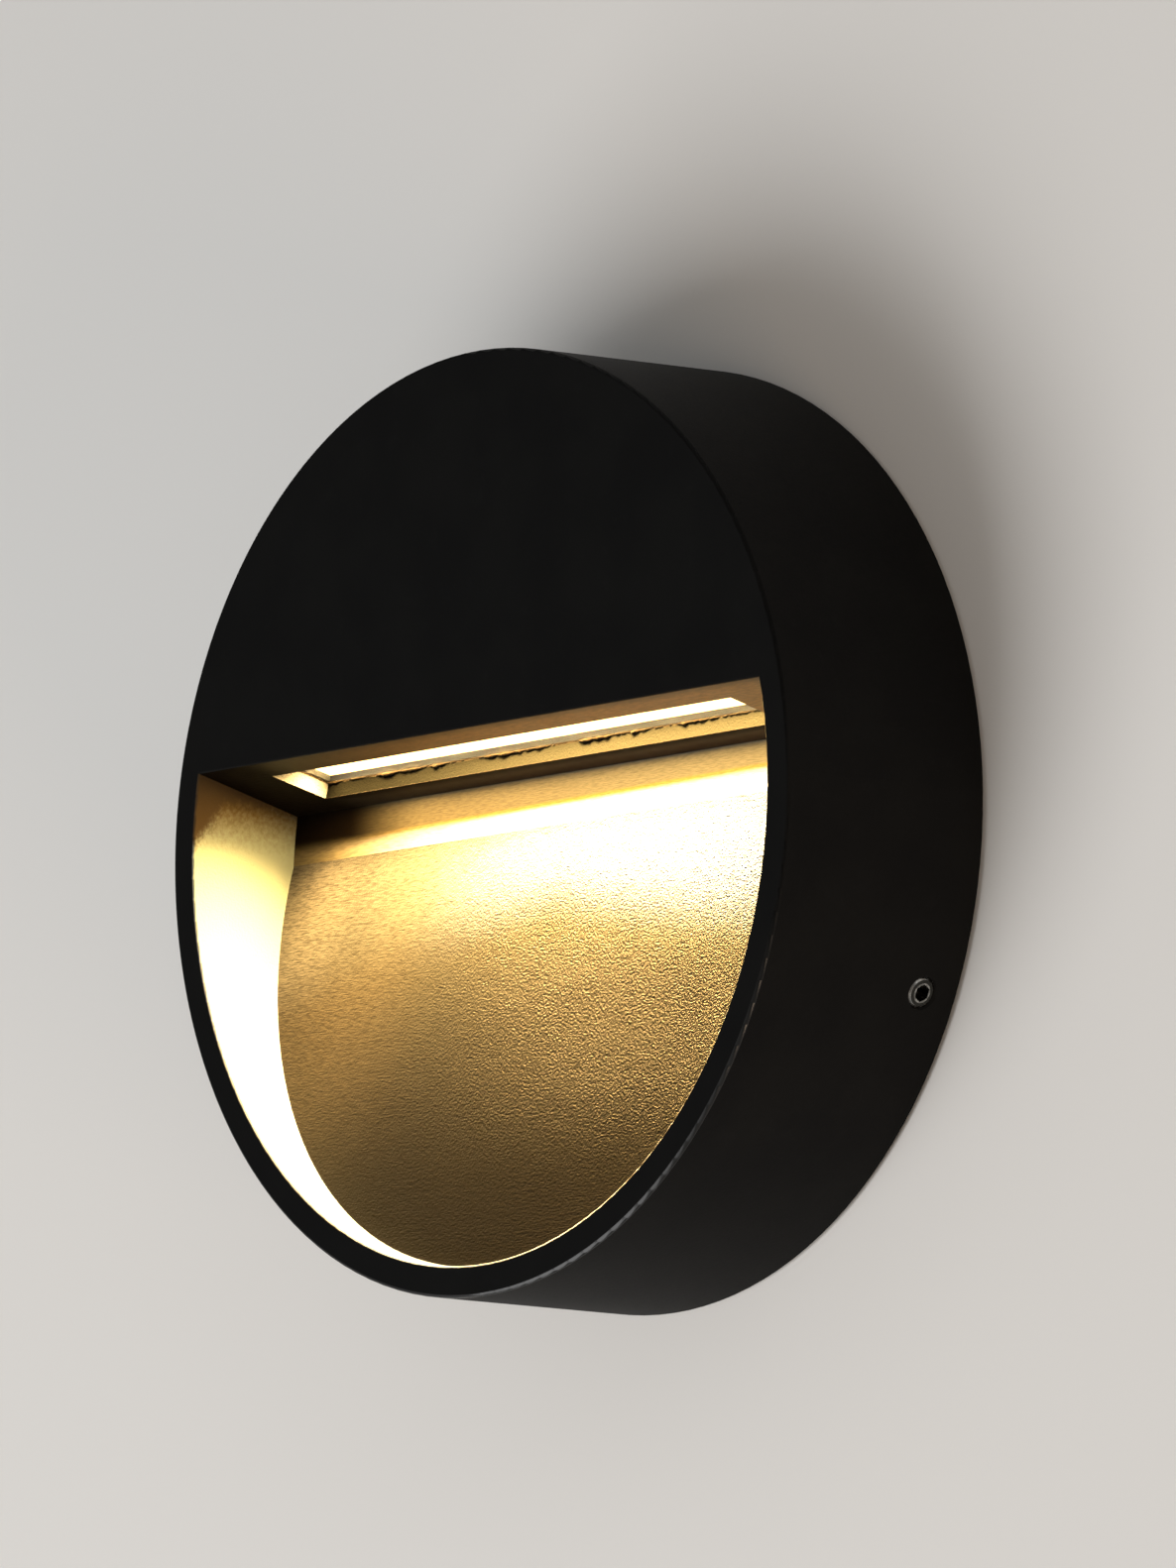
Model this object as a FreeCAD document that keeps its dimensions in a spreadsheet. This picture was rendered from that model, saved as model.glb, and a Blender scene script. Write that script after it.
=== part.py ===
import FreeCAD, Part
import math
import os
import re
import Sketcher

# A round die-cast wall light: a black housing with an eyelid recess, lit from a slot in the
# recess's sloping ceiling, that drops over a plate on the wall and is held by two grub screws.
# Millimetres. The wall is the plane y = 0, the light stands out from it along -Y, +Z is up, and
# the origin is the middle of the plate's back, between the two wall screws.

SIZES = {
    # Cutting tools run past a face by this
    "overrun": 1.0,
    # Housing
    "front_radius": 75.0,
    "side_draft": 0.8,
    "body_depth": 40.0,
    "wall_gap": 0.4,
    "front_wall": 3.0,
    "rim_width": 5.0,
    "skirt_wall": 3.5,
    "edge_round": 0.5,
    "lip_round": 0.35,
    # Recess: its ceiling falls from the chord to the throat, and its back wall drops a little way almost
    # upright to a bend, from which it slopes out past the belly to the foot
    "chord_height": 15.0,
    "throat_height": 9.8,
    "throat_depth": 21.3,
    "bend_height": 1.5,
    "bend_step": 0.3,
    "belly_drop": 35.0,
    "belly_depth": 11.5,
    "foot_depth": 3.4,
    "recess_wall": 2.5,
    # Light slot, measured along the ceiling from the front
    "slot_end_margin": 14.0,
    "slot_width": 11.4,
    "slot_setback": 5.5,
    # Lens and light bar above the slot
    "lens_lap": 2.5,
    "lens_seal": 0.3,
    "lens_thickness": 2.0,
    "diffuser_end_gap": 2.0,
    "diffuser_width": 6.0,
    "diffuser_thickness": 1.5,
    "diffuser_place": 12.5,
    "carrier_wall": 1.8,
    "carrier_room": 4.1,
    "carrier_web": 2.5,
    "carrier_boss_radius": 3.2,
    "carrier_screw_inset": 3.5,
    "ear_width": 8.0,
    "ear_lift": 0.5,
    "ear_thickness": 2.5,
    "board_thickness": 1.6,
    "board_clearance": 0.4,
    "board_inset": 4.5,
    "chip_length": 3.5,
    "chip_width": 2.8,
    "chip_height": 0.7,
    "chip_pitch": 9.0,
    "connector_length": 9.0,
    "connector_width": 6.0,
    "connector_height": 4.0,
    "connector_neck": 3.0,
    "connector_fit": 0.2,
    # Rear cover, its gasket and its screws
    "flange_height": 10.0,
    "cover_gap": 0.8,
    "cover_thickness": 1.8,
    "cover_clearance": 0.3,
    "gasket_thickness": 1.2,
    "gasket_width": 9.5,
    "cover_screw_inset": 6.1,
    "cover_boss_radius": 4.2,
    "cover_screw_length": 8.0,
    # Wall plate
    "plate_clearance": 2.0,
    "plate_thickness": 2.5,
    "flange_thickness": 2.5,
    "plate_edge": 0.8,
    "wall_slot_spacing": 90.0,
    "wall_slot_length": 12.0,
    "wall_slot_width": 4.5,
    "wall_gasket_margin": 3.8,
    "wall_gasket_width": 6.0,
    "wall_gasket_thickness": 1.0,
    # Cable entry, through the plate and the cover on one axis, above the terminal block
    "entry_rise": 20.0,
    "cable_radius": 3.5,
    "cable_clearance": 0.5,
    "plate_entry_radius": 8.0,
    "cover_entry_radius": 6.0,
    "grommet_lip": 2.6,
    "grommet_lip_thickness": 1.4,
    "grommet_lip_sunk": 1.0,
    "nipple_length": 3.0,
    "nipple_wall": 1.2,
    "grommet_fit": 0.05,
    # Cord clamp
    "clamp_place": 20.0,
    "clamp_margin": 28.0,
    "clamp_span": 17.0,
    "clamp_width": 6.0,
    "clamp_thickness": 2.5,
    "clamp_post_radius": 3.0,
    "clamp_post_height": 6.0,
    # Terminal block
    "pole_pitch": 10.0,
    "terminal_to_earth": 25.0,
    "terminal_margin": 20.0,
    "terminal_height": 14.0,
    "terminal_depth": 11.0,
    "terminal_gap": 1.8,
    "terminal_pad_inset": 3.0,
    "wire_port_radius": 2.0,
    "wire_port_lift": 4.0,
    "insert_size": 6.0,
    "insert_length": 9.0,
    "insert_fit": 0.05,
    "well_radius": 2.4,
    "pole_screw_head_height": 1.4,
    "tie_screw_radius": 1.2,
    "tie_head_radius": 2.0,
    "tie_head_height": 1.2,
    "tie_well_depth": 4.0,
    "tie_screw_bite": 2.6,
    # Earth screw and tag
    "earth_margin": 7.8,
    "earth_angle": 53.5,
    "earth_step": 2.0,
    "earth_boss_radius": 3.5,
    "earth_screw_radius": 2.0,
    "earth_head_radius": 3.3,
    "earth_head_height": 2.0,
    "earth_screw_bite": 4.0,
    "tag_radius": 3.6,
    "tag_thickness": 0.8,
    "tag_tail": 7.0,
    "tag_barrel_radius": 1.7,
    # Driver
    "driver_end_margin": 38.0,
    "driver_corner_gap": 4.6,
    "driver_back_gap": 5.4,
    "driver_rise": 30.0,
    "driver_wall": 1.5,
    "driver_ear_length": 9.0,
    "driver_ear_width": 9.0,
    "driver_ear_thickness": 2.0,
    "driver_boss_height": 4.0,
    "driver_boss_radius": 3.2,
    "driver_port_lift": 4.2,
    "driver_board_lift": 2.5,
    "driver_board_gap": 1.0,
    "transformer_length": 17.0,
    "transformer_height": 14.0,
    "transformer_gap": 2.9,
    "capacitor_radius": 4.0,
    "capacitor_margin": 15.0,
    # Small screws
    "screw_radius": 1.5,
    "screw_head_radius": 2.7,
    "screw_head_height": 1.5,
    "screw_fit": 0.05,
    "screw_drive_radius": 1.15,
    "screw_drive_depth": 0.9,
    "carrier_screw_length": 5.4,
    "driver_screw_length": 6.4,
    "clamp_screw_length": 9.0,
    # Grub screws
    "grub_angle": 24.4,
    "grub_height": 7.2,
    "grub_radius": 2.5,
    "grub_fit": 0.05,
    "grub_length": 5.0,
    "grub_tip_gap": 0.3,
    "grub_chamfer": 0.35,
    "grub_mouth": 0.35,
    "grub_drive_radius": 1.44,
    "grub_drive_depth": 2.6,
    # Leads
    "lead_radius": 1.0,
    "lead_hole_fit": 0.15,
    "lead_grip": 4.0,
    "lead_port_spacing": 5.5,
    "lead_swing": 3.5,
    "lead_spacing": 4.5,
    "lead_lane_margin": 29.0,
    "earth_lead_rise": 14.6,
}

# Angles of the six cover screws round the housing's axis, in degrees from +X
COVER_SCREW_ANGLES = (35, 90, 145, 225, 270, 315)
# An arc joins a lead's two runs over this share of the shorter one
BEND_SHARE = 0.45
# The connector stands this share of the way from the board's middle to its end
CONNECTOR_SHARE = 0.852

# Radii and distances that several pieces share, as formulas in the sheet's names
BACK_RADIUS = "(front_radius + side_draft)"
OPENING_RADIUS = "(front_radius - rim_width)"
SEAT_RADIUS = f"({BACK_RADIUS} - skirt_wall)"
PLATE_RADIUS = f"({SEAT_RADIUS} - plate_clearance)"
WALL_GASKET_RADIUS = f"({PLATE_RADIUS} - flange_thickness - wall_gasket_margin - wall_gasket_width)"
COVER_RADIUS = f"({SEAT_RADIUS} - cover_clearance)"
COVER_SCREW_CIRCLE = f"({SEAT_RADIUS} - cover_screw_inset)"
COVER_BACK = "(flange_height + cover_gap)"
COVER_FRONT = f"({COVER_BACK} + cover_thickness)"
LEDGE = f"({COVER_FRONT} + gasket_thickness)"
FRONT_INSIDE = "(body_depth - front_wall)"
TILT = "atan((chord_height - throat_height) / throat_depth)"
SLOT_MIDDLE = "(slot_setback + slot_width / 2)"
SLOT_HALF_LENGTH = f"({OPENING_RADIUS} - slot_end_margin)"
DIFFUSER_HALF_LENGTH = f"({SLOT_HALF_LENGTH} - diffuser_end_gap)"
LENS_HALF_LENGTH = f"({SLOT_HALF_LENGTH} + lens_lap)"
LENS_FRONT = "(slot_setback - lens_lap)"
LENS_BACK = "(slot_setback + slot_width + lens_lap)"
LENS_BOTTOM = "(recess_wall + lens_seal)"
LENS_TOP = f"({LENS_BOTTOM} + lens_thickness)"
WEB_BOTTOM = f"({LENS_TOP} + carrier_room)"
WEB_TOP = f"({WEB_BOTTOM} + carrier_web)"
EAR_BOTTOM = f"({LENS_TOP} + ear_lift)"
EAR_TOP = f"({EAR_BOTTOM} + ear_thickness)"
CARRIER_SCREW_PLACE = f"({LENS_HALF_LENGTH} + carrier_screw_inset)"
BOARD_HALF_LENGTH = f"({LENS_HALF_LENGTH} - board_inset)"
CONNECTOR_PLACE = f"({CONNECTOR_SHARE} * {BOARD_HALF_LENGTH})"
EARTH_PLACE = f"((earth_margin - {OPENING_RADIUS}) * cos(earth_angle))"
EARTH_DROP = f"(({OPENING_RADIUS} - earth_margin) * sin(earth_angle))"
TERMINAL_PLACE = f"({EARTH_PLACE} + terminal_to_earth)"
TERMINAL_DROP = f"({OPENING_RADIUS} - terminal_margin)"
# The recess's back wall rises towards its foot, and the terminal block sits just behind it
FOOT_SLOPE = f"((belly_depth - foot_depth) / ({OPENING_RADIUS} + overrun - belly_drop))"
FOOT_RISE = f"(({TERMINAL_DROP} - terminal_height / 2 - belly_drop) * {FOOT_SLOPE})"
TERMINAL_FRONT = f"(body_depth - belly_depth + {FOOT_RISE} - recess_wall - terminal_gap)"
TERMINAL_BACK = f"({TERMINAL_FRONT} - terminal_depth)"
PORT_OUT = f"({TERMINAL_FRONT} - wire_port_lift)"
EARTH_SEAT = f"({TERMINAL_FRONT} - earth_step)"
ENTRY_DROP = f"({TERMINAL_DROP} - entry_rise)"
CLAMP_DROP = f"({OPENING_RADIUS} - clamp_margin)"
DRIVER_BACK = f"({COVER_FRONT} + driver_back_gap)"
DRIVER_HALF_LENGTH = f"({OPENING_RADIUS} - driver_end_margin)"
# The driver's upper corners keep their distance from the housing's round wall
DRIVER_TOP = f"sqrt(({OPENING_RADIUS} - driver_corner_gap) ^ 2 - {DRIVER_HALF_LENGTH} ^ 2)"
DRIVER_MIDDLE = f"((driver_rise + {DRIVER_TOP}) / 2)"
DRIVER_EAR_OUT = f"({FRONT_INSIDE} - driver_boss_height)"
DRIVER_SCREW_PLACE = f"({DRIVER_HALF_LENGTH} + driver_ear_length / 2)"
DRIVER_PORT_OUT = f"({DRIVER_BACK} + driver_port_lift)"

doc = FreeCAD.newDocument("wall_light")
sizes = doc.addObject("Spreadsheet::Sheet", "sizes")
for row, (alias, value) in enumerate(SIZES.items(), start=1):
    sizes.set(f"A{row}", alias)
    sizes.set(f"B{row}", str(value))
    sizes.setAlias(f"B{row}", alias)
doc.recompute()


def spelled(formula):
    """The formula with each name of the sheet written the way the document reads it."""
    return re.sub(
        r"[a-z_]+", lambda word: f"sizes.{word[0]}" if word[0] in SIZES else word[0], formula
    )


def measure(formula):
    """The formula's present value."""
    found = sizes.evalExpression(spelled(formula))
    return float(getattr(found, "Value", found))


def bind(thing, formulas):
    """Ties properties of a document object to the sheet."""
    for name, formula in formulas.items():
        thing.setExpression(name, spelled(formula))
    return thing


def seat(thing, x="0", y="0", z="0", turn=None):
    """Places an object at a point, turned about an axis by an angle in degrees, both bound to the sheet."""
    if turn:
        axis, angle = turn
        thing.Placement = FreeCAD.Placement(FreeCAD.Vector(), FreeCAD.Rotation(axis, measure(angle)))
        bind(thing, {"Placement.Rotation.Angle": angle})
    return bind(thing, {"Placement.Base.x": x, "Placement.Base.y": y, "Placement.Base.z": z})


X_AXIS = FreeCAD.Vector(1, 0, 0)
Y_AXIS = FreeCAD.Vector(0, 1, 0)


def facing_out(thing, x="0", z="0", out="0"):
    """Turns a piece drawn along its own Z so that it stands out from the wall, at a distance from it."""
    return seat(thing, x, f"-({out})", z, turn=(X_AXIS, "90"))


def facing_wall(thing, x="0", z="0", out="0"):
    """Turns a piece drawn along its own Z so that it points at the wall."""
    return seat(thing, x, f"-({out})", z, turn=(X_AXIS, "-90"))


def on_ceiling(thing):
    """Lays a piece on the sloping ceiling: X along the chord, Y down the slope, Z away from the recess."""
    return seat(thing, "0", "-body_depth", "chord_height", turn=(X_AXIS, f"-{TILT}"))


def new_body(name):
    return doc.addObject("PartDesign::Body", name)


def sketch_in(body, role, lift=None):
    """A sketch on one of the body's own planes, lifted off it by a formula."""
    plane = next(p for p in body.Origin.OriginFeatures if p.Role == role)
    sketch = body.newObject("Sketcher::SketchObject", body.Name + "_outline")
    sketch.AttachmentSupport = (plane, [""])
    sketch.MapMode = "FlatFace"
    if lift:
        bind(sketch, {"AttachmentOffset.Base.z": lift})
    return sketch


def fix_point(sketch, edge, end, corner):
    """Ties a point of the sketch to two formulas."""
    for kind, axis, formula in (("DistanceX", -2, corner[0]), ("DistanceY", -1, corner[1])):
        if formula == "0":
            sketch.addConstraint(Sketcher.Constraint("PointOnObject", edge, end, axis))
            continue
        index = sketch.addConstraint(Sketcher.Constraint(kind, edge, end, measure(formula)))
        sketch.setExpression(f"Constraints[{index}]", spelled(formula))


def arc_through(start, via, end):
    """An arc drawn counter-clockwise through three points, and whether it runs from end to start."""
    circle = Part.Circle(start, via, end)
    centre = circle.Center
    angles = [math.atan2(p.y - centre.y, p.x - centre.x) for p in (start, via, end)]
    full = 2 * math.pi
    flipped = (angles[1] - angles[0]) % full > (angles[2] - angles[0]) % full
    first, last = (angles[2], angles[0]) if flipped else (angles[0], angles[2])
    if last < first:
        last += full
    plain = Part.Circle(centre, FreeCAD.Vector(0, 0, 1), circle.Radius)
    return Part.ArcOfCircle(plain, first, last), flipped


def outline(sketch, corners):
    """A closed outline. A corner is (u, v), reached by a line, or (u, v, via_u, via_v), reached by an arc."""
    points = [FreeCAD.Vector(measure(c[0]), measure(c[1]), 0) for c in corners]
    ends = []
    for i, corner in enumerate(corners):
        start, end = points[i - 1], points[i]
        flipped = False
        if len(corner) == 4:
            via = FreeCAD.Vector(measure(corner[2]), measure(corner[3]), 0)
            drawn, flipped = arc_through(start, via, end)
        else:
            drawn = Part.LineSegment(start, end)
        edge = sketch.addGeometry(drawn, False)
        ends.append((edge, 2, 1) if flipped else (edge, 1, 2))
    for i, corner in enumerate(corners):
        edge, first, last = ends[i]
        before = ends[i - 1]
        sketch.addConstraint(Sketcher.Constraint("Coincident", before[0], before[2], edge, first))
        fix_point(sketch, edge, last, corner)
        if len(corner) == 4:
            via = FreeCAD.Vector(measure(corner[2]), measure(corner[3]), 0)
            point = sketch.addGeometry(Part.Point(via), True)
            fix_point(sketch, point, 1, corner[2:])
            sketch.addConstraint(Sketcher.Constraint("PointOnObject", point, 1, edge))


def frame_outline(sketch, x, y):
    """A rectangle from the low to the high formula along each axis."""
    outline(sketch, [(x[0], y[0]), (x[1], y[0]), (x[1], y[1]), (x[0], y[1])])


def circle_outline(sketch, x, y, radius):
    middle = FreeCAD.Vector(measure(x), measure(y), 0)
    edge = sketch.addGeometry(Part.Circle(middle, FreeCAD.Vector(0, 0, 1), measure(radius)), False)
    fix_point(sketch, edge, 3, (x, y))
    index = sketch.addConstraint(Sketcher.Constraint("Radius", edge, measure(radius)))
    sketch.setExpression(f"Constraints[{index}]", spelled(radius))


def turned(name, corners):
    """A body turned about its own Z from an outline of (radius, height) corners."""
    body = new_body(name)
    sketch = sketch_in(body, "XZ_Plane")
    outline(sketch, corners)
    turn = body.newObject("PartDesign::Revolution", name + "_turn")
    turn.Profile = sketch
    turn.ReferenceAxis = (sketch, ["V_Axis"])
    turn.Angle = 360
    return body


def raised(name, low, high, draw):
    """A body padded along its own Z from low to high. draw(sketch) draws its outlines."""
    body = new_body(name)
    sketch = sketch_in(body, "XY_Plane", low)
    draw(sketch)
    pad = body.newObject("PartDesign::Pad", name + "_pad")
    pad.Profile = sketch
    bind(pad, {"Length": f"{high} - ({low})"})
    return body


def slab(name, x, y, z):
    """A rectangular body with each side given as its low and high formula."""
    return raised(name, z[0], z[1], lambda sketch: frame_outline(sketch, x, y))


def block(name, x, out, z):
    """A box given in the row frame, where out is the distance from the wall."""
    box = doc.addObject("Part::Box", name)
    bind(box, {
        "Length": f"{x[1]} - ({x[0]})",
        "Width": f"{out[1]} - ({out[0]})",
        "Height": f"{z[1]} - ({z[0]})",
    })
    return seat(box, x[0], f"-({out[1]})", z[0])


def bar(name, radius, x, z, out):
    """A round bar that stands out from the wall between two distances from it."""
    cylinder = doc.addObject("Part::Cylinder", name)
    bind(cylinder, {"Radius": radius, "Height": f"{out[1]} - ({out[0]})"})
    return facing_out(cylinder, x, z, out[0])


def fused(name, pieces):
    joined = doc.addObject("Part::MultiFuse", name)
    joined.Shapes = pieces
    joined.Refine = True
    return joined


def cut(name, base, tools):
    """base with the tools' space taken away."""
    result = doc.addObject("Part::Cut", name)
    result.Base = base
    result.Tool = tools[0] if len(tools) == 1 else fused(name + "_tools", tools)
    return result


def common(name, base, tool):
    result = doc.addObject("Part::Common", name)
    result.Base = base
    result.Tool = tool
    return result


def group(name, pieces):
    """Separate solids that share one node."""
    gathered = doc.addObject("Part::Compound", name)
    gathered.Links = pieces
    return gathered


def polar(radius, angle):
    """The x and z formulas of a point at an angle round the housing's axis."""
    return f"({radius} * cos({angle}))", f"({radius} * sin({angle}))"


def edges_where(shape, test):
    """The names of the shape's edges whose every sample point passes the test."""
    names = []
    for i, edge in enumerate(shape.Edges, start=1):
        samples = edge.discretize(5)
        if all(test(p) for p in samples):
            names.append(f"Edge{i}")
    return names


def rounded(name, base, radius, test):
    """A body made from the base object, with the edges that pass the test rounded."""
    body = new_body(name)
    body.BaseFeature = base
    doc.recompute()
    fillet = body.newObject("PartDesign::Fillet", name + "_round")
    fillet.Base = (body.Group[0], edges_where(base.Shape, test))
    bind(fillet, {"Radius": radius})
    return body


def headed_screw(name, length, head_radius="screw_head_radius", head_height="screw_head_height",
                 radius="screw_radius", sunk=False):
    """A screw along its own Z, its shank running down from the head's seat at zero, or from a sunk head."""
    if sunk:
        corners = [
            ("0", "0"), (head_radius, "0"), (radius, f"-{head_height}"),
            (radius, f"-{length}"), ("0", f"-{length}"),
        ]
        top = "0"
    else:
        corners = [
            ("0", head_height), (head_radius, head_height), (head_radius, "0"), (radius, "0"),
            (radius, f"-{length}"), ("0", f"-{length}"),
        ]
        top = head_height
    blank = turned(name + "_blank", corners)
    drive = doc.addObject("Part::Prism", name + "_drive")
    drive.Polygon = 6
    share = "1" if radius == "screw_radius" else f"({radius} / screw_radius)"
    bind(drive,
         {"Circumradius": f"screw_drive_radius * {share}", "Height": "screw_drive_depth + overrun"})
    seat(drive, z=f"{top} - screw_drive_depth")
    return cut(name, blank, [drive])


def recess_profile():
    """The recess seen from the side: u is the distance from the wall, negative, and v is up."""
    profile = doc.addObject("Sketcher::SketchObject", "recess_profile")
    profile.Placement = FreeCAD.Placement(
        FreeCAD.Vector(), FreeCAD.Rotation(FreeCAD.Vector(1, 1, 1), 120)
    )
    slope = "(chord_height - throat_height) / throat_depth"
    floor = f"-({OPENING_RADIUS} + overrun)"
    outline(profile, [
        ("-body_depth - overrun", f"chord_height + overrun * {slope}"),
        ("throat_depth - body_depth", "throat_height"),
        ("throat_depth - bend_step - body_depth", "bend_height"),
        ("foot_depth - body_depth", floor, "belly_depth - body_depth", "-belly_drop"),
        ("-body_depth - overrun", floor),
    ])
    return profile


def extruded(name, profile):
    """The profile drawn out along X across the whole housing."""
    prism = doc.addObject("Part::Extrusion", name)
    prism.Base = profile
    prism.DirMode = "Normal"
    prism.Solid = True
    prism.Symmetric = True
    bind(prism, {"LengthFwd": f"2 * {BACK_RADIUS}"})
    return prism


def grub_outline(radius, start, end, chamfer):
    """A round plug along its own Z, with its outer edge chamfered or flared."""
    return [
        ("0", start), (radius, start), (radius, f"{end} - grub_chamfer"),
        (f"{radius} {chamfer}", end), ("0", end),
    ]


def grub_turns():
    """The turn about Y that points a piece's own Z along each grub screw's axis."""
    return {"right": "90 + grub_angle", "left": "-90 - grub_angle"}


def skin_radius():
    """The housing's outer radius at the grub screws."""
    share = "(grub_height - wall_gap) / (body_depth - wall_gap)"
    return f"({BACK_RADIUS} - side_draft * {share})"


def make_housing():
    """The die-cast cup, with the eyelid recess, its light slot and the bosses inside."""
    bend = "edge_round * (1 - cos(45))"
    cup = facing_out(turned("housing_cup", [
        ("0", "body_depth"),
        ("front_radius - edge_round", "body_depth"),
        ("front_radius", "body_depth - edge_round", f"front_radius - {bend}", f"body_depth - {bend}"),
        (BACK_RADIUS, "wall_gap"),
        (SEAT_RADIUS, "wall_gap"),
        (SEAT_RADIUS, LEDGE),
        (OPENING_RADIUS, LEDGE),
        (OPENING_RADIUS, FRONT_INSIDE),
        ("0", FRONT_INSIDE),
    ]))
    profile = recess_profile()
    skin = doc.addObject("Part::Offset2D", "recess_skin")
    skin.Source = profile
    skin.Mode = "Pipe"
    skin.Join = "Arc"
    bind(skin, {"Value": "recess_wall"})
    core = bar("housing_core", f"{OPENING_RADIUS} + rim_width / 2", "0", "0", (LEDGE, FRONT_INSIDE))
    walls = common("recess_walls", extruded("recess_block", skin), core)
    additions = [cup, walls]
    cavity_reach = (LEDGE, f"{FRONT_INSIDE} + front_wall / 2")
    holes = []
    for i, angle in enumerate(COVER_SCREW_ANGLES):
        x, z = polar(COVER_SCREW_CIRCLE, angle)
        boss = bar(f"cover_boss_{i}", "cover_boss_radius", x, z, cavity_reach)
        additions.append(boss)
        tip = f"{COVER_BACK} + cover_screw_length + overrun"
        holes.append(bar(f"cover_thread_{i}", "screw_radius + screw_fit", x, z, (COVER_BACK, tip)))
    for side in ("-", ""):
        place = f"{side}{DRIVER_SCREW_PLACE}"
        reach = (DRIVER_EAR_OUT, cavity_reach[1])
        additions.append(bar("driver_boss", "driver_boss_radius", place, DRIVER_MIDDLE, reach))
        tip = f"{DRIVER_EAR_OUT} + driver_screw_length"
        holes.append(bar("driver_thread", "screw_radius + screw_fit", place, DRIVER_MIDDLE,
                         (f"{DRIVER_EAR_OUT} - overrun", tip)))
        pillar = raised("carrier_boss", "recess_wall / 2", EAR_BOTTOM, lambda sketch: circle_outline(
            sketch, f"{side}{CARRIER_SCREW_PLACE}", SLOT_MIDDLE, "carrier_boss_radius"))
        additions.append(on_ceiling(pillar))
        thread = raised("carrier_thread", f"{EAR_TOP} - carrier_screw_length - screw_fit",
                        f"{EAR_BOTTOM} + overrun",
                        lambda sketch: circle_outline(sketch, f"{side}{CARRIER_SCREW_PLACE}",
                                                      SLOT_MIDDLE,
                                                      "screw_radius + screw_fit"))
        holes.append(on_ceiling(thread))
    half_width = "3 * pole_pitch / 2 - terminal_pad_inset"
    half_height = "terminal_height / 2 - terminal_pad_inset / 2"
    pad_reach = (TERMINAL_FRONT, FRONT_INSIDE)
    additions.append(block(
        "terminal_pad",
        (f"{TERMINAL_PLACE} - ({half_width})", f"{TERMINAL_PLACE} + {half_width}"),
        pad_reach,
        (f"-{TERMINAL_DROP} - ({half_height})", f"{half_height} - {TERMINAL_DROP}"),
    ))
    for side in ("-", "+"):
        tip = f"{TERMINAL_FRONT} + tie_screw_bite + screw_fit"
        holes.append(bar("tie_thread", "tie_screw_radius + screw_fit",
                         f"{TERMINAL_PLACE} {side} pole_pitch / 2",
                         f"-{TERMINAL_DROP}", (f"{TERMINAL_FRONT} - overrun", tip)))
    additions.append(bar("earth_boss", "earth_boss_radius", EARTH_PLACE, f"-{EARTH_DROP}",
                         (EARTH_SEAT, FRONT_INSIDE)))
    holes.append(bar("earth_thread", "earth_screw_radius + screw_fit", EARTH_PLACE, f"-{EARTH_DROP}",
                     (f"{EARTH_SEAT} - overrun", f"{EARTH_SEAT} + earth_screw_bite + screw_fit")))
    opening = bar("recess_round", OPENING_RADIUS, "0", "0", (COVER_FRONT, "body_depth + overrun"))
    holes.append(common("recess_space", extruded("recess_prism", profile), opening))
    slot = slab("light_slot", (f"-{SLOT_HALF_LENGTH}", SLOT_HALF_LENGTH),
                ("slot_setback", "slot_setback + slot_width"), ("-overrun", "recess_wall + overrun"))
    holes.append(on_ceiling(slot))
    for side, turn in grub_turns().items():
        bore = turned(f"grub_bore_{side}", [
            ("0", f"{SEAT_RADIUS} - overrun"),
            ("grub_radius", f"{SEAT_RADIUS} - overrun"),
            ("grub_radius", f"{skin_radius()} - grub_mouth"),
            ("grub_radius + grub_mouth + overrun", f"{skin_radius()} + overrun"),
            ("0", f"{skin_radius()} + overrun"),
        ])
        holes.append(seat(bore, y="-grub_height", turn=(Y_AXIS, turn)))
    solid = fused("housing_solid", additions)
    cast = cut("housing_cast", solid, holes)
    doc.recompute()
    front = -measure("body_depth")
    radius = measure(OPENING_RADIUS)
    tolerance = measure("lip_round") / 10

    def on_lip(point):
        return abs(point.y - front) < tolerance and math.hypot(point.x, point.z) < radius + tolerance

    return rounded("housing", cast, "lip_round", on_lip)


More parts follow.
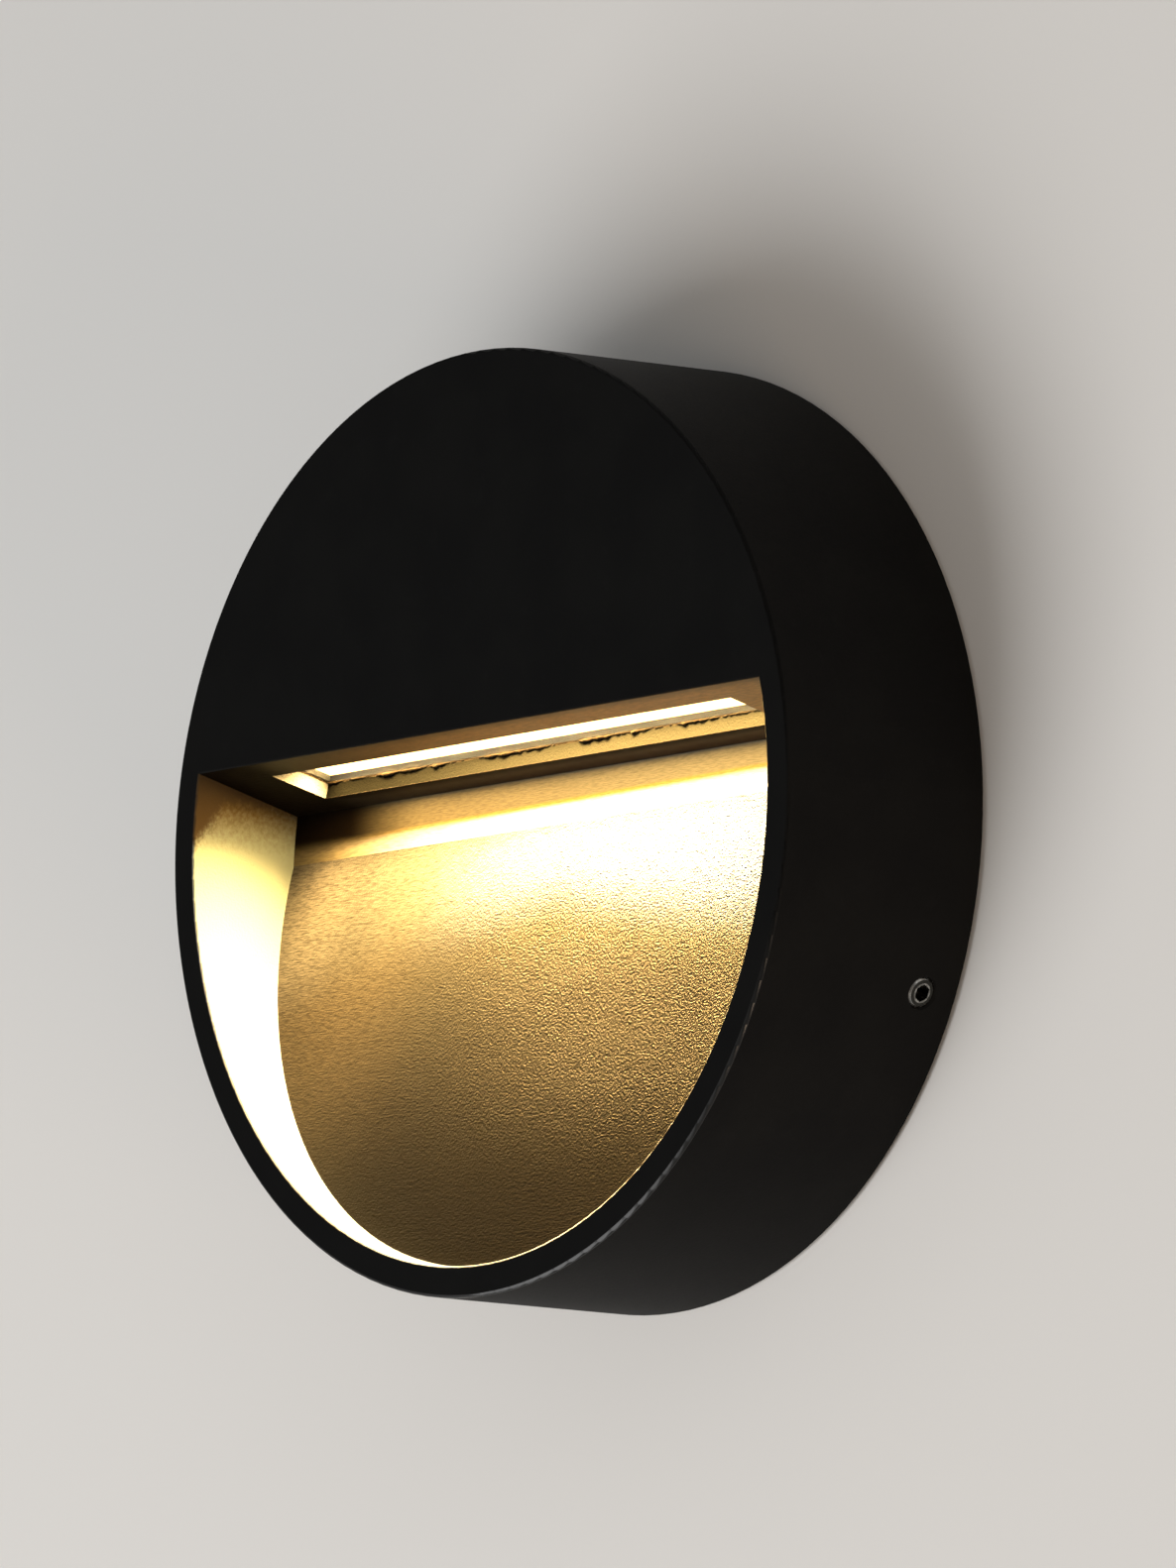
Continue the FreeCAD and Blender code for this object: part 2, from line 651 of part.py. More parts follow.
def make_light_bar():
    """The lens and its seal, the diffuser, the board with its chips, and the carrier that clamps them."""
    half, front, back = LENS_HALF_LENGTH, LENS_FRONT, LENS_BACK
    span = (f"-{half}", half)

    def draw_seal(sketch):
        frame_outline(sketch, span, (front, back))
        frame_outline(sketch, (f"-{SLOT_HALF_LENGTH}", SLOT_HALF_LENGTH),
                      ("slot_setback", "slot_setback + slot_width"))

    on_ceiling(raised("lens_gasket", "recess_wall", LENS_BOTTOM, draw_seal))
    on_ceiling(slab("lens", span, (front, back), (LENS_BOTTOM, LENS_TOP)))
    shell = slab("carrier_shell", span, (front, back), (LENS_TOP, WEB_TOP))
    ears = slab("carrier_ears", (f"-({CARRIER_SCREW_PLACE} + carrier_boss_radius)",
                                 f"{CARRIER_SCREW_PLACE} + carrier_boss_radius"),
                (f"{SLOT_MIDDLE} - ear_width / 2", f"{SLOT_MIDDLE} + ear_width / 2"),
                (EAR_BOTTOM, EAR_TOP))
    room = slab("carrier_hollow", (f"-({half} - carrier_wall)", f"{half} - carrier_wall"),
                (f"{front} + carrier_wall", f"{back} - carrier_wall"),
                (f"{EAR_BOTTOM} - overrun", WEB_BOTTOM))
    neck_half = "(connector_neck / 2 + connector_fit)"
    port = slab("carrier_port", (f"{CONNECTOR_PLACE} - {neck_half}", f"{CONNECTOR_PLACE} + {neck_half}"),
                (f"{SLOT_MIDDLE} - {neck_half}", f"{SLOT_MIDDLE} + {neck_half}"),
                (LENS_TOP, f"{WEB_TOP} + overrun"))
    clear_holes = [
        raised("ear_hole", LENS_TOP, f"{EAR_TOP} + overrun", lambda sketch: circle_outline(
            sketch, f"{side}{CARRIER_SCREW_PLACE}", SLOT_MIDDLE, "screw_radius + screw_fit"))
        for side in ("-", "")
    ]
    on_ceiling(cut("led_carrier", fused("carrier_solid", [shell, ears]), [room, port] + clear_holes))
    screws = []
    for side in ("-", ""):
        screw = headed_screw("carrier_screw", "carrier_screw_length")
        screws.append(seat(screw, f"{side}{CARRIER_SCREW_PLACE}", SLOT_MIDDLE, EAR_TOP))
    on_ceiling(group("carrier_screws", screws))
    margin = "(carrier_wall + board_clearance)"
    board_bottom = f"({WEB_BOTTOM} - board_thickness)"
    on_ceiling(slab("led_board", (f"-{BOARD_HALF_LENGTH}", BOARD_HALF_LENGTH),
                    (f"{front} + {margin}", f"{back} - {margin}"),
                    (board_bottom, WEB_BOTTOM)))
    on_ceiling(slab("diffuser", (f"-{DIFFUSER_HALF_LENGTH}", DIFFUSER_HALF_LENGTH),
                    ("diffuser_place - diffuser_width / 2", "diffuser_place + diffuser_width / 2"),
                    (LENS_TOP, f"{LENS_TOP} + diffuser_thickness")))
    count = 2 * int(measure(f"({BOARD_HALF_LENGTH} - chip_length) / chip_pitch"))
    chips = []
    for i in range(count + 1):
        middle = f"({i - count / 2} * chip_pitch)"
        chips.append(slab(f"led_chip_{i}",
                          (f"{middle} - chip_length / 2", f"{middle} + chip_length / 2"),
                          ("diffuser_place - chip_width / 2", "diffuser_place + chip_width / 2"),
                          (f"{board_bottom} - chip_height", board_bottom)))
    on_ceiling(group("led_chips", chips))
    cap = slab("connector_cap",
               (f"{CONNECTOR_PLACE} - connector_length / 2", f"{CONNECTOR_PLACE} + connector_length / 2"),
               (f"{SLOT_MIDDLE} - connector_width / 2", f"{SLOT_MIDDLE} + connector_width / 2"),
               (WEB_TOP, f"{WEB_TOP} + connector_height"))
    neck = slab("connector_stem",
                (f"{CONNECTOR_PLACE} - connector_neck / 2", f"{CONNECTOR_PLACE} + connector_neck / 2"),
                (f"{SLOT_MIDDLE} - connector_neck / 2", f"{SLOT_MIDDLE} + connector_neck / 2"),
                (WEB_BOTTOM, f"{WEB_TOP} + connector_height / 2"))
    ports = [
        raised("connector_port", f"{WEB_TOP} + connector_height / 2",
               f"{WEB_TOP} + connector_height + overrun",
               lambda sketch: circle_outline(sketch, f"{CONNECTOR_PLACE} {side} connector_length / 4",
                                             SLOT_MIDDLE,
                                             "lead_radius + lead_hole_fit"))
        for side in ("-", "+")
    ]
    on_ceiling(cut("led_connector", fused("connector_solid", [cap, neck]), ports))


def make_rear_cover():
    """The cover that closes the housing from behind, its flat gasket and its sunk screws."""
    disc = bar("cover_disc", COVER_RADIUS, "0", "0", (COVER_BACK, COVER_FRONT))
    post_ends = [f"-{CLAMP_DROP} {side} clamp_span / 2" for side in ("-", "+")]
    posts = [
        bar("clamp_post", "clamp_post_radius", "clamp_place", z,
            (f"{COVER_FRONT} - cover_thickness / 2", f"{COVER_FRONT} + clamp_post_height"))
        for z in post_ends
    ]
    openings = [bar("cover_entry", "cover_entry_radius + grommet_fit", "0", f"-{ENTRY_DROP}",
                    (f"{COVER_BACK} - overrun", f"{COVER_FRONT} + overrun"))]
    top = f"({COVER_FRONT} + clamp_post_height)"
    for z in post_ends:
        tip = f"{top} + clamp_thickness - clamp_screw_length - screw_fit"
        openings.append(bar("clamp_thread", "screw_radius + screw_fit", "clamp_place", z,
                            (tip, f"{top} + overrun")))
    screws = []
    gasket_holes = []
    for i, angle in enumerate(COVER_SCREW_ANGLES):
        x, z = polar(COVER_SCREW_CIRCLE, angle)
        sink = turned(f"cover_sink_{i}", [
            ("0", "overrun"),
            ("screw_head_radius + screw_fit", "overrun"),
            ("screw_head_radius + screw_fit", "0"),
            ("screw_radius + screw_fit", "-screw_head_height"),
            ("screw_radius + screw_fit", "-cover_thickness - overrun"),
            ("0", "-cover_thickness - overrun"),
        ])
        openings.append(facing_wall(sink, x, z, COVER_BACK))
        screw = headed_screw(f"cover_screw_{i}", "cover_screw_length", sunk=True)
        screws.append(facing_wall(screw, x, z, COVER_BACK))
        gasket_holes.append((x, z))
    cut("rear_cover", fused("cover_solid", [disc] + posts), openings)
    group("cover_screws", screws)

    def draw_gasket(sketch):
        circle_outline(sketch, "0", "0", COVER_RADIUS)
        circle_outline(sketch, "0", "0", f"{COVER_RADIUS} - gasket_width")
        for x, z in gasket_holes:
            circle_outline(sketch, x, z, "screw_radius + 2 * screw_fit")

    facing_out(raised("cover_gasket", COVER_FRONT, LEDGE, draw_gasket))


def make_cover_grommet():
    """The rubber entry in the rear cover, with a lip on each side and a nipple towards the wall."""
    lip = "(cover_entry_radius + grommet_lip)"
    tip = f"{COVER_BACK} - grommet_lip_thickness - nipple_length"
    facing_out(turned("cover_grommet", [
        ("cable_radius", f"{COVER_FRONT} + grommet_lip_thickness"),
        ("cover_entry_radius", f"{COVER_FRONT} + grommet_lip_thickness"),
        (lip, COVER_FRONT),
        ("cover_entry_radius", COVER_FRONT),
        ("cover_entry_radius", COVER_BACK),
        (lip, COVER_BACK),
        (lip, f"{COVER_BACK} - grommet_lip_thickness"),
        ("cover_entry_radius", f"{COVER_BACK} - grommet_lip_thickness"),
        ("cable_radius + nipple_wall", tip),
        ("cable_radius", tip),
    ]), z=f"-{ENTRY_DROP}")


def make_cord_clamp():
    """The bar that grips the supply cable's sheath against the rear cover, and its two screws."""
    low = f"({COVER_FRONT} + clamp_post_height)"
    high = f"({low} + clamp_thickness)"
    reach = "(clamp_span / 2 + clamp_width / 2)"
    strap = block("clamp_strap", ("clamp_place - clamp_width / 2", "clamp_place + clamp_width / 2"),
                  (low, high),
                  (f"-{CLAMP_DROP} - {reach}", f"{reach} - {CLAMP_DROP}"))
    holes = []
    screws = []
    for i, side in enumerate(("-", "+")):
        z = f"-{CLAMP_DROP} {side} clamp_span / 2"
        holes.append(bar("strap_hole", "screw_radius + screw_fit", "clamp_place", z,
                         (f"{low} - overrun", f"{high} + overrun")))
        screw = headed_screw(f"clamp_screw_{i}", "clamp_screw_length")
        screws.append(facing_out(screw, "clamp_place", z, high))
    cut("cord_clamp", strap, holes)
    group("clamp_screws", screws)


def make_wall_plate():
    """The plate that screws to the wall, its wall gasket and the rubber grommet in its cable hole."""
    dish = facing_out(turned("plate_dish", [
        ("0", "0"),
        (f"{PLATE_RADIUS} - plate_edge", "0"),
        (PLATE_RADIUS, "plate_edge"),
        (PLATE_RADIUS, "flange_height"),
        (f"{PLATE_RADIUS} - flange_thickness", "flange_height"),
        (f"{PLATE_RADIUS} - flange_thickness", "plate_thickness"),
        ("0", "plate_thickness"),
    ]))
    through = ("-overrun", "plate_thickness + overrun")
    tools = []
    for side in ("-", ""):
        middle = f"{side}wall_slot_spacing / 2"
        straight = "(wall_slot_length - wall_slot_width) / 2"
        tools.append(block("wall_slot_run", (f"{middle} - {straight}", f"{middle} + {straight}"),
                           through,
                           ("-wall_slot_width / 2", "wall_slot_width / 2")))
        for end in ("-", "+"):
            tools.append(bar("wall_slot_end", "wall_slot_width / 2", f"{middle} {end} {straight}", "0",
                             through))
    lip = "(plate_entry_radius + grommet_lip)"
    tools.append(bar("plate_entry", "plate_entry_radius + grommet_fit", "0", f"-{ENTRY_DROP}", through))
    tools.append(bar("plate_entry_sink", f"{lip} + grommet_fit", "0", f"-{ENTRY_DROP}",
                     ("-overrun", "grommet_lip_sunk")))
    outer = f"({WALL_GASKET_RADIUS} + wall_gasket_width)"
    tools.append(facing_out(turned("gasket_groove", [
        (WALL_GASKET_RADIUS, "-overrun"), (outer, "-overrun"),
        (outer, "wall_gasket_thickness"), (WALL_GASKET_RADIUS, "wall_gasket_thickness"),
    ])))
    cut("wall_plate", dish, tools)
    facing_out(turned("wall_gasket", [
        (f"{WALL_GASKET_RADIUS} + grommet_fit", "0"), (f"{outer} - grommet_fit", "0"),
        (f"{outer} - grommet_fit", "wall_gasket_thickness"),
        (f"{WALL_GASKET_RADIUS} + grommet_fit", "wall_gasket_thickness"),
    ]))
    bore = "(cable_radius + cable_clearance)"
    facing_out(turned("plate_grommet", [
        (bore, "0"),
        (lip, "0"),
        (lip, "grommet_lip_sunk"),
        ("plate_entry_radius", "grommet_lip_sunk"),
        ("plate_entry_radius", "plate_thickness"),
        (lip, "plate_thickness"),
        ("plate_entry_radius", "plate_thickness + grommet_lip_thickness"),
        (bore, "plate_thickness + grommet_lip_thickness"),
    ]), z=f"-{ENTRY_DROP}")


def make_terminal_block():
    """The three-pole block, its brass inserts, its pole screws and the two screws that hold it."""
    half = "(3 * pole_pitch / 2)"
    top, bottom = f"terminal_height / 2 - {TERMINAL_DROP}", f"-{TERMINAL_DROP} - terminal_height / 2"
    back = TERMINAL_BACK
    shell = block("terminal_shell", (f"{TERMINAL_PLACE} - {half}", f"{TERMINAL_PLACE} + {half}"),
                  (back, TERMINAL_FRONT), (bottom, top))
    insert_half = "(insert_size / 2)"
    insert_back = f"({PORT_OUT} - {insert_half})"
    tools = []
    inserts = []
    screws = []
    for i in (-1, 0, 1):
        x = f"({TERMINAL_PLACE} + {i} * pole_pitch)"
        port = doc.addObject("Part::Cylinder", "wire_port")
        bind(port, {"Radius": "wire_port_radius", "Height": "terminal_height + 2 * overrun"})
        tools.append(seat(port, x, f"-{PORT_OUT}", f"{bottom} - overrun"))
        fit_half = f"({insert_half} + insert_fit)"
        insert_top = f"insert_length / 2 - {TERMINAL_DROP}"
        tools.append(block("insert_room", (f"{x} - {fit_half}", f"{x} + {fit_half}"),
                           (f"{PORT_OUT} - {fit_half}", f"{PORT_OUT} + {fit_half}"),
                           (f"{bottom} - overrun", f"{insert_top} + insert_fit")))
        tools.append(bar("pole_well", "well_radius", x, f"-{TERMINAL_DROP}",
                         (f"{back} - overrun", insert_back)))
        body = block("insert_body", (f"{x} - {insert_half}", f"{x} + {insert_half}"),
                     (insert_back, f"{PORT_OUT} + {insert_half}"),
                     (f"-{TERMINAL_DROP} - insert_length / 2", insert_top))
        bore = doc.addObject("Part::Cylinder", "insert_bore")
        bind(bore,
             {"Radius": "lead_radius + 2 * lead_hole_fit", "Height": "insert_length + 2 * overrun"})
        seat(bore, x, f"-{PORT_OUT}", f"-{TERMINAL_DROP} - insert_length / 2 - overrun")
        thread = bar("insert_thread", "screw_radius + screw_fit", x, f"-{TERMINAL_DROP}",
                     (f"{insert_back} - overrun", PORT_OUT))
        inserts.append(cut(f"terminal_insert_{i + 1}", body, [bore, thread]))
        length = "(insert_size / 2 - lead_radius - 2 * lead_hole_fit)"
        screw = headed_screw(f"pole_screw_{i + 1}", length, "well_radius - 2 * screw_fit",
                             "pole_screw_head_height")
        screws.append(facing_wall(screw, x, f"-{TERMINAL_DROP}", insert_back))
    ties = []
    for i, side in enumerate(("-", "+")):
        x = f"{TERMINAL_PLACE} {side} pole_pitch / 2"
        tools.append(bar("tie_well", "tie_head_radius + 2 * screw_fit", x, f"-{TERMINAL_DROP}",
                         (f"{back} - overrun", f"{back} + tie_well_depth")))
        tools.append(bar("tie_hole", "tie_screw_radius + screw_fit", x, f"-{TERMINAL_DROP}",
                         (back, f"{TERMINAL_FRONT} + overrun")))
        screw = headed_screw(f"tie_screw_{i}", "(terminal_depth - tie_well_depth + tie_screw_bite)",
                             "tie_head_radius", "tie_head_height", "tie_screw_radius")
        ties.append(facing_wall(screw, x, f"-{TERMINAL_DROP}", f"({back} + tie_well_depth)"))
    cut("terminal_block", shell, tools)
    group("terminal_inserts", inserts)
    group("terminal_screws", screws)
    group("terminal_ties", ties)


def make_earth_point():
    """The earth screw in its boss and the crimped tag under its head."""
    seat_out = EARTH_SEAT
    head_seat = f"({EARTH_SEAT} - tag_thickness)"
    screw = headed_screw("earth_screw", "(tag_thickness + earth_screw_bite)", "earth_head_radius",
                         "earth_head_height", "earth_screw_radius")
    facing_wall(screw, EARTH_PLACE, f"-{EARTH_DROP}", head_seat)
    ring = bar("tag_ring", "tag_radius", EARTH_PLACE, f"-{EARTH_DROP}", (head_seat, seat_out))
    tail = block("tag_strip", (f"{EARTH_PLACE} - tag_barrel_radius", f"{EARTH_PLACE} + tag_barrel_radius"),
                 (head_seat, seat_out), (f"-{EARTH_DROP}", f"tag_tail - {EARTH_DROP}"))
    barrel = doc.addObject("Part::Cylinder", "tag_barrel")
    bind(barrel, {"Radius": "tag_barrel_radius", "Height": "lead_grip"})
    seat(barrel, EARTH_PLACE, f"-{earth_lead_out()}", f"tag_tail - {EARTH_DROP}")
    hole = bar("tag_hole", "earth_screw_radius + screw_fit", EARTH_PLACE, f"-{EARTH_DROP}",
               (f"{head_seat} - overrun", f"{seat_out} + overrun"))
    bore = doc.addObject("Part::Cylinder", "tag_bore")
    bind(bore, {"Radius": "lead_radius + lead_hole_fit", "Height": "lead_grip"})
    seat(bore, EARTH_PLACE, f"-{earth_lead_out()}", f"tag_tail - {EARTH_DROP} + tag_thickness")
    cut("earth_tag", fused("tag_solid", [ring, tail, barrel]), [hole, bore])


def earth_lead_out():
    """The barrel of the earth tag lies against the tag's strip, on the side away from the housing."""
    return f"({EARTH_SEAT} - tag_barrel_radius)"


def make_driver():
    """The driver's tray with its two ears, its lid, its board and its two screws."""
    half = DRIVER_HALF_LENGTH
    top = DRIVER_TOP
    middle = DRIVER_MIDDLE
    shell = block("driver_shell", (f"-{half}", half), (f"{DRIVER_BACK} + driver_wall", FRONT_INSIDE),
                  ("driver_rise", top))
    ear_reach = f"({DRIVER_HALF_LENGTH} + driver_ear_length)"
    ears = block("driver_ears", (f"-{ear_reach}", ear_reach),
                 (f"{DRIVER_EAR_OUT} - driver_ear_thickness", DRIVER_EAR_OUT),
                 (f"{middle} - driver_ear_width / 2", f"{middle} + driver_ear_width / 2"))
    tools = [block("driver_room", (f"-({half} - driver_wall)", f"{half} - driver_wall"),
                   (DRIVER_BACK, f"{FRONT_INSIDE} - driver_wall"),
                   ("driver_rise + driver_wall", f"{top} - driver_wall"))]
    screws = []
    for i, side in enumerate(("-", "")):
        place = f"{side}{DRIVER_SCREW_PLACE}"
        tools.append(bar("driver_ear_hole", "screw_radius + screw_fit", place, middle,
                         (f"{DRIVER_EAR_OUT} - driver_ear_thickness - overrun",
                          f"{DRIVER_EAR_OUT} + overrun")))
        screw = headed_screw(f"driver_screw_{i}", "driver_screw_length")
        screws.append(facing_wall(screw, place, middle, f"({DRIVER_EAR_OUT} - driver_ear_thickness)"))
    for direction in ("-", "+"):
        port = doc.addObject("Part::Cylinder", "driver_port")
        bind(port, {"Radius": "lead_radius + lead_hole_fit",
                    "Height": f"2 * ({DRIVER_HALF_LENGTH} + overrun)"})
        seat(port, f"-{half} - overrun", f"-{DRIVER_PORT_OUT}",
             f"{middle} {direction} lead_port_spacing / 2",
             turn=(Y_AXIS, "90"))
        tools.append(port)
    cut("driver_case", fused("driver_tray", [shell, ears]), tools)
    block("driver_lid", (f"-{half}", half), (DRIVER_BACK, f"{DRIVER_BACK} + driver_wall"),
          ("driver_rise", top))
    group("driver_screws", screws)
    gap = "(driver_wall + driver_board_gap)"
    board_front = f"({FRONT_INSIDE} - driver_wall - driver_board_lift)"
    board_back = f"({board_front} - board_thickness)"
    board = block("driver_sheet", (f"-({half} - {gap})", f"{half} - {gap}"), (board_back, board_front),
                  (f"driver_rise + {gap}", f"{top} - {gap}"))
    # Posts moulded under the board hold it off the tray's floor
    posts = [
        bar("board_post", "screw_radius", f"{side}({half} - 3 * {gap})", middle,
            (board_front, f"{FRONT_INSIDE} - driver_wall"))
        for side in ("-", "")
    ]
    parts_back = f"({DRIVER_BACK} + driver_wall + transformer_gap)"
    core = block("transformer", ("-transformer_length / 2", "transformer_length / 2"),
                 (parts_back, board_back),
                 (f"{middle} - transformer_height / 2", f"{middle} + transformer_height / 2"))
    cans = [
        bar("capacitor", "capacitor_radius", f"{side}({half} - {gap} - capacitor_margin)",
            f"driver_rise + {gap} + 1.2 * capacitor_radius",
            (parts_back, board_back))
        for side in ("-", "")
    ]
    fused("driver_board", [board, core] + posts + cans)


def make_grub_screws():
    """The two grub screws in the housing's side. Each tip stands just off the plate's flange."""
    tip = f"({PLATE_RADIUS} + grub_tip_gap)"
    end = f"({tip} + grub_length)"
    for side, turn in grub_turns().items():
        blank = turned(f"grub_blank_{side}",
                       grub_outline("(grub_radius - grub_fit)", tip, end, "- grub_chamfer"))
        drive = doc.addObject("Part::Prism", f"grub_drive_{side}")
        drive.Polygon = 6
        bind(drive, {"Circumradius": "grub_drive_radius", "Height": "grub_drive_depth + overrun"})
        seat(drive, z=f"{end} - grub_drive_depth")
        seat(cut(f"grub_screw_{side}", blank, [drive]), y="-grub_height", turn=(Y_AXIS, turn))


def lead(name, route):
    """A lead along straight runs joined by tangent arcs, with its bends and its volume's share printed."""
    radius = measure("lead_radius")
    points = [FreeCAD.Vector(*(measure(f) for f in point)) for point in route]
    edges = []
    bends = []
    reached = points[0]
    for before, corner, after in zip(points, points[1:], points[2:]):
        back = (before - corner).normalize()
        on = (after - corner).normalize()
        turn = math.pi - back.getAngle(on)
        reach = BEND_SHARE * min(before.distanceToPoint(corner), after.distanceToPoint(corner))
        bend = reach / math.tan(turn / 2)
        first, last = corner + back * reach, corner + on * reach
        inward = (back + on).normalize()
        middle = corner + inward * (bend / math.cos(turn / 2) - bend)
        edges.append(Part.LineSegment(reached, first).toShape())
        edges.append(Part.Arc(first, middle, last).toShape())
        bends.append(round(bend, 1))
        reached = last
    edges.append(Part.LineSegment(reached, points[-1]).toShape())
    path = Part.Wire(edges)
    ring = Part.Wire([Part.Circle(points[0], points[1] - points[0], radius).toShape()])
    piece = doc.addObject("Part::Feature", name)
    piece.Shape = path.makePipeShell([ring], True, False)
    piece.Placement = FreeCAD.Placement()
    share = piece.Shape.Volume / (math.pi * radius ** 2 * path.Length)
    print(f"{name}: length {path.Length:.1f}, bends {bends}, volume against length {share:.3f}")


def make_leads():
    """The leads between the driver, the light bar, the terminal block and the earth tag."""
    port_y = f"-{DRIVER_PORT_OUT}"
    high, low = f"{DRIVER_MIDDLE} + lead_port_spacing / 2", f"{DRIVER_MIDDLE} - lead_port_spacing / 2"
    inside = f"({DRIVER_HALF_LENGTH} - lead_grip)"
    beside = f"({OPENING_RADIUS} - lead_lane_margin)"
    passage = f"-({COVER_FRONT} + body_depth - throat_depth - recess_wall) / 2"
    under = "(driver_rise - lead_spacing)"
    pole_end = f"(terminal_height / 2 - {TERMINAL_DROP} - lead_grip)"
    port_out = f"-{PORT_OUT}"
    near_port = f"(lead_swing / 2 - {PORT_OUT})"
    lead("live_lead", [
        (f"-{inside}", port_y, low),
        (f"-{beside}", port_y, low),
        (f"-{beside} - lead_swing", passage, under),
        (f"-{beside}", passage, "0"),
        (f"lead_swing - {beside}", passage, f"-{ENTRY_DROP} / 2"),
        (TERMINAL_PLACE, near_port, f"lead_spacing - {ENTRY_DROP}"),
        (f"{TERMINAL_PLACE} + pole_pitch", port_out, f"-{ENTRY_DROP} - lead_spacing"),
        (f"{TERMINAL_PLACE} + pole_pitch", port_out, pole_end),
    ])
    lead("neutral_lead", [
        (f"-{inside}", port_y, high),
        (f"-{beside} - lead_spacing", port_y, high),
        (f"-{beside} - lead_swing - lead_spacing", passage, under),
        (f"-{beside} - lead_spacing", passage, "-lead_spacing"),
        (f"lead_swing - {beside} - lead_spacing", passage, f"-{ENTRY_DROP} / 2 - lead_spacing"),
        (f"{TERMINAL_PLACE} - 2 * lead_swing", near_port, f"-{ENTRY_DROP}"),
        (TERMINAL_PLACE, port_out, f"-{ENTRY_DROP} - 1.5 * lead_spacing"),
        (TERMINAL_PLACE, port_out, pole_end),
    ])
    tag_y = f"-{earth_lead_out()}"
    crest = f"(tag_tail - {EARTH_DROP} + earth_lead_rise)"
    lead("earth_lead", [
        (EARTH_PLACE, tag_y, f"tag_tail - {EARTH_DROP} + tag_thickness"),
        (EARTH_PLACE, tag_y, crest),
        (f"{TERMINAL_PLACE} - pole_pitch", port_out, crest),
        (f"{TERMINAL_PLACE} - pole_pitch", port_out, pole_end),
    ])
    along, up = SLOT_MIDDLE, f"({WEB_TOP} + connector_height / 2)"
    start_y = f"({along} * cos({TILT}) + {up} * sin({TILT}) - body_depth)"
    start_z = f"(chord_height - {along} * sin({TILT}) + {up} * cos({TILT}))"
    for name, side, height in (("led_lead_red", "-", low), ("led_lead_black", "+", high)):
        across = f"({CONNECTOR_PLACE} {side} connector_length / 4)"
        lead(name, [
            (across, start_y, start_z),
            (across, f"{start_y} + lead_grip / 2 * sin({TILT})",
             f"{start_z} + lead_grip / 2 * cos({TILT})"),
            (across, port_y, height),
            (f"{inside}", port_y, height),
        ])


PARTS = (
    "wall_plate", "wall_gasket", "plate_grommet", "housing", "lens", "lens_gasket", "diffuser",
    "led_board", "led_chips", "led_carrier", "carrier_screws", "led_connector", "led_lead_red",
    "led_lead_black", "driver_case", "driver_lid", "driver_board", "driver_screws", "rear_cover",
    "cover_gasket", "cover_screws", "cover_grommet", "cord_clamp", "clamp_screws", "terminal_block",
    "terminal_inserts", "terminal_screws", "terminal_ties", "live_lead", "neutral_lead",
    "earth_lead", "earth_screw", "earth_tag", "grub_screw_right", "grub_screw_left",
)

make_wall_plate()
make_housing()
make_light_bar()
make_rear_cover()
make_cover_grommet()
make_cord_clamp()
make_terminal_block()
make_earth_point()
make_driver()
make_leads()
make_grub_screws()
doc.recompute()

faults = [thing.Label for thing in doc.Objects if "Invalid" in thing.State or "Error" in thing.State]
if faults:
    raise RuntimeError(f"these objects failed: {faults}")
os.makedirs("parts", exist_ok=True)
for label in PARTS:
    (piece,) = doc.getObjectsByLabel(label)
    if piece.Shape.isNull() or not piece.Shape.isValid() or not piece.Shape.Solids:
        raise RuntimeError(f"{label} has no sound shape")
for label in PARTS:
    (piece,) = doc.getObjectsByLabel(label)
    piece.Shape.exportStep(f"parts/{label}.step")
print(f"{len(PARTS)} pieces written")
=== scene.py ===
import math
import random

import bmesh
import bpy
from mathutils import Matrix, Vector


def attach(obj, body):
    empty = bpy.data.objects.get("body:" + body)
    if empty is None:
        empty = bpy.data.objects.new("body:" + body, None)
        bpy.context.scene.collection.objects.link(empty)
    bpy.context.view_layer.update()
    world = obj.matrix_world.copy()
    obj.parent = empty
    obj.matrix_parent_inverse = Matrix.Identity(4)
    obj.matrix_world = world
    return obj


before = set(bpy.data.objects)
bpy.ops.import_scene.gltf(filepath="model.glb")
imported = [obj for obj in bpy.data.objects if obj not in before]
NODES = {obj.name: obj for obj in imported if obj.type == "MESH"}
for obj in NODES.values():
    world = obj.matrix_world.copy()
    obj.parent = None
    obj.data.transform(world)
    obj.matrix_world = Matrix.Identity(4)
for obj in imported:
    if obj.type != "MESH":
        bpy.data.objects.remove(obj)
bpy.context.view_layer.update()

# A round black wall light. The wall is y = 0, the light stands out along -Y, and lengths are metres
MM = 0.001
FRONT = -40.0 * MM
FRONT_RADIUS = 75.0 * MM
OPENING_RADIUS = 70.0 * MM
CHORD_HEIGHT = 15.0 * MM
THROAT_HEIGHT = 9.8 * MM
THROAT_DEPTH = 21.3 * MM
TILT = math.atan((CHORD_HEIGHT - THROAT_HEIGHT) / THROAT_DEPTH)
BEND_HEIGHT = 1.6 * MM
SLOT_HALF_LENGTH = 56.0 * MM
SLOT_REAR = 16.9 * MM
LENS_BOTTOM = 2.8 * MM
LENS_TOP = 4.8 * MM
DIFFUSER_LENGTH = 108.0 * MM

# The grub screws: their distance from the wall, the right one's axis in X and Z, and their rings
GRUB_DEPTH = -7.2 * MM
GRUB_AXIS = (0.910684, -0.413104)
GRUB_EDGE = 2.15 * MM
GRUB_SOCKET = 1.3 * MM
# Their painted dark reflection, the painted glint at their edges and the painted shade in the hex
# socket
GRUB_DARK_REFLECTION = (0.035, 0.034, 0.030)
GRUB_EDGE_GLINT = (0.50, 0.49, 0.46)
GRUB_SOCKET_SHADE = (0.012, 0.011, 0.010)

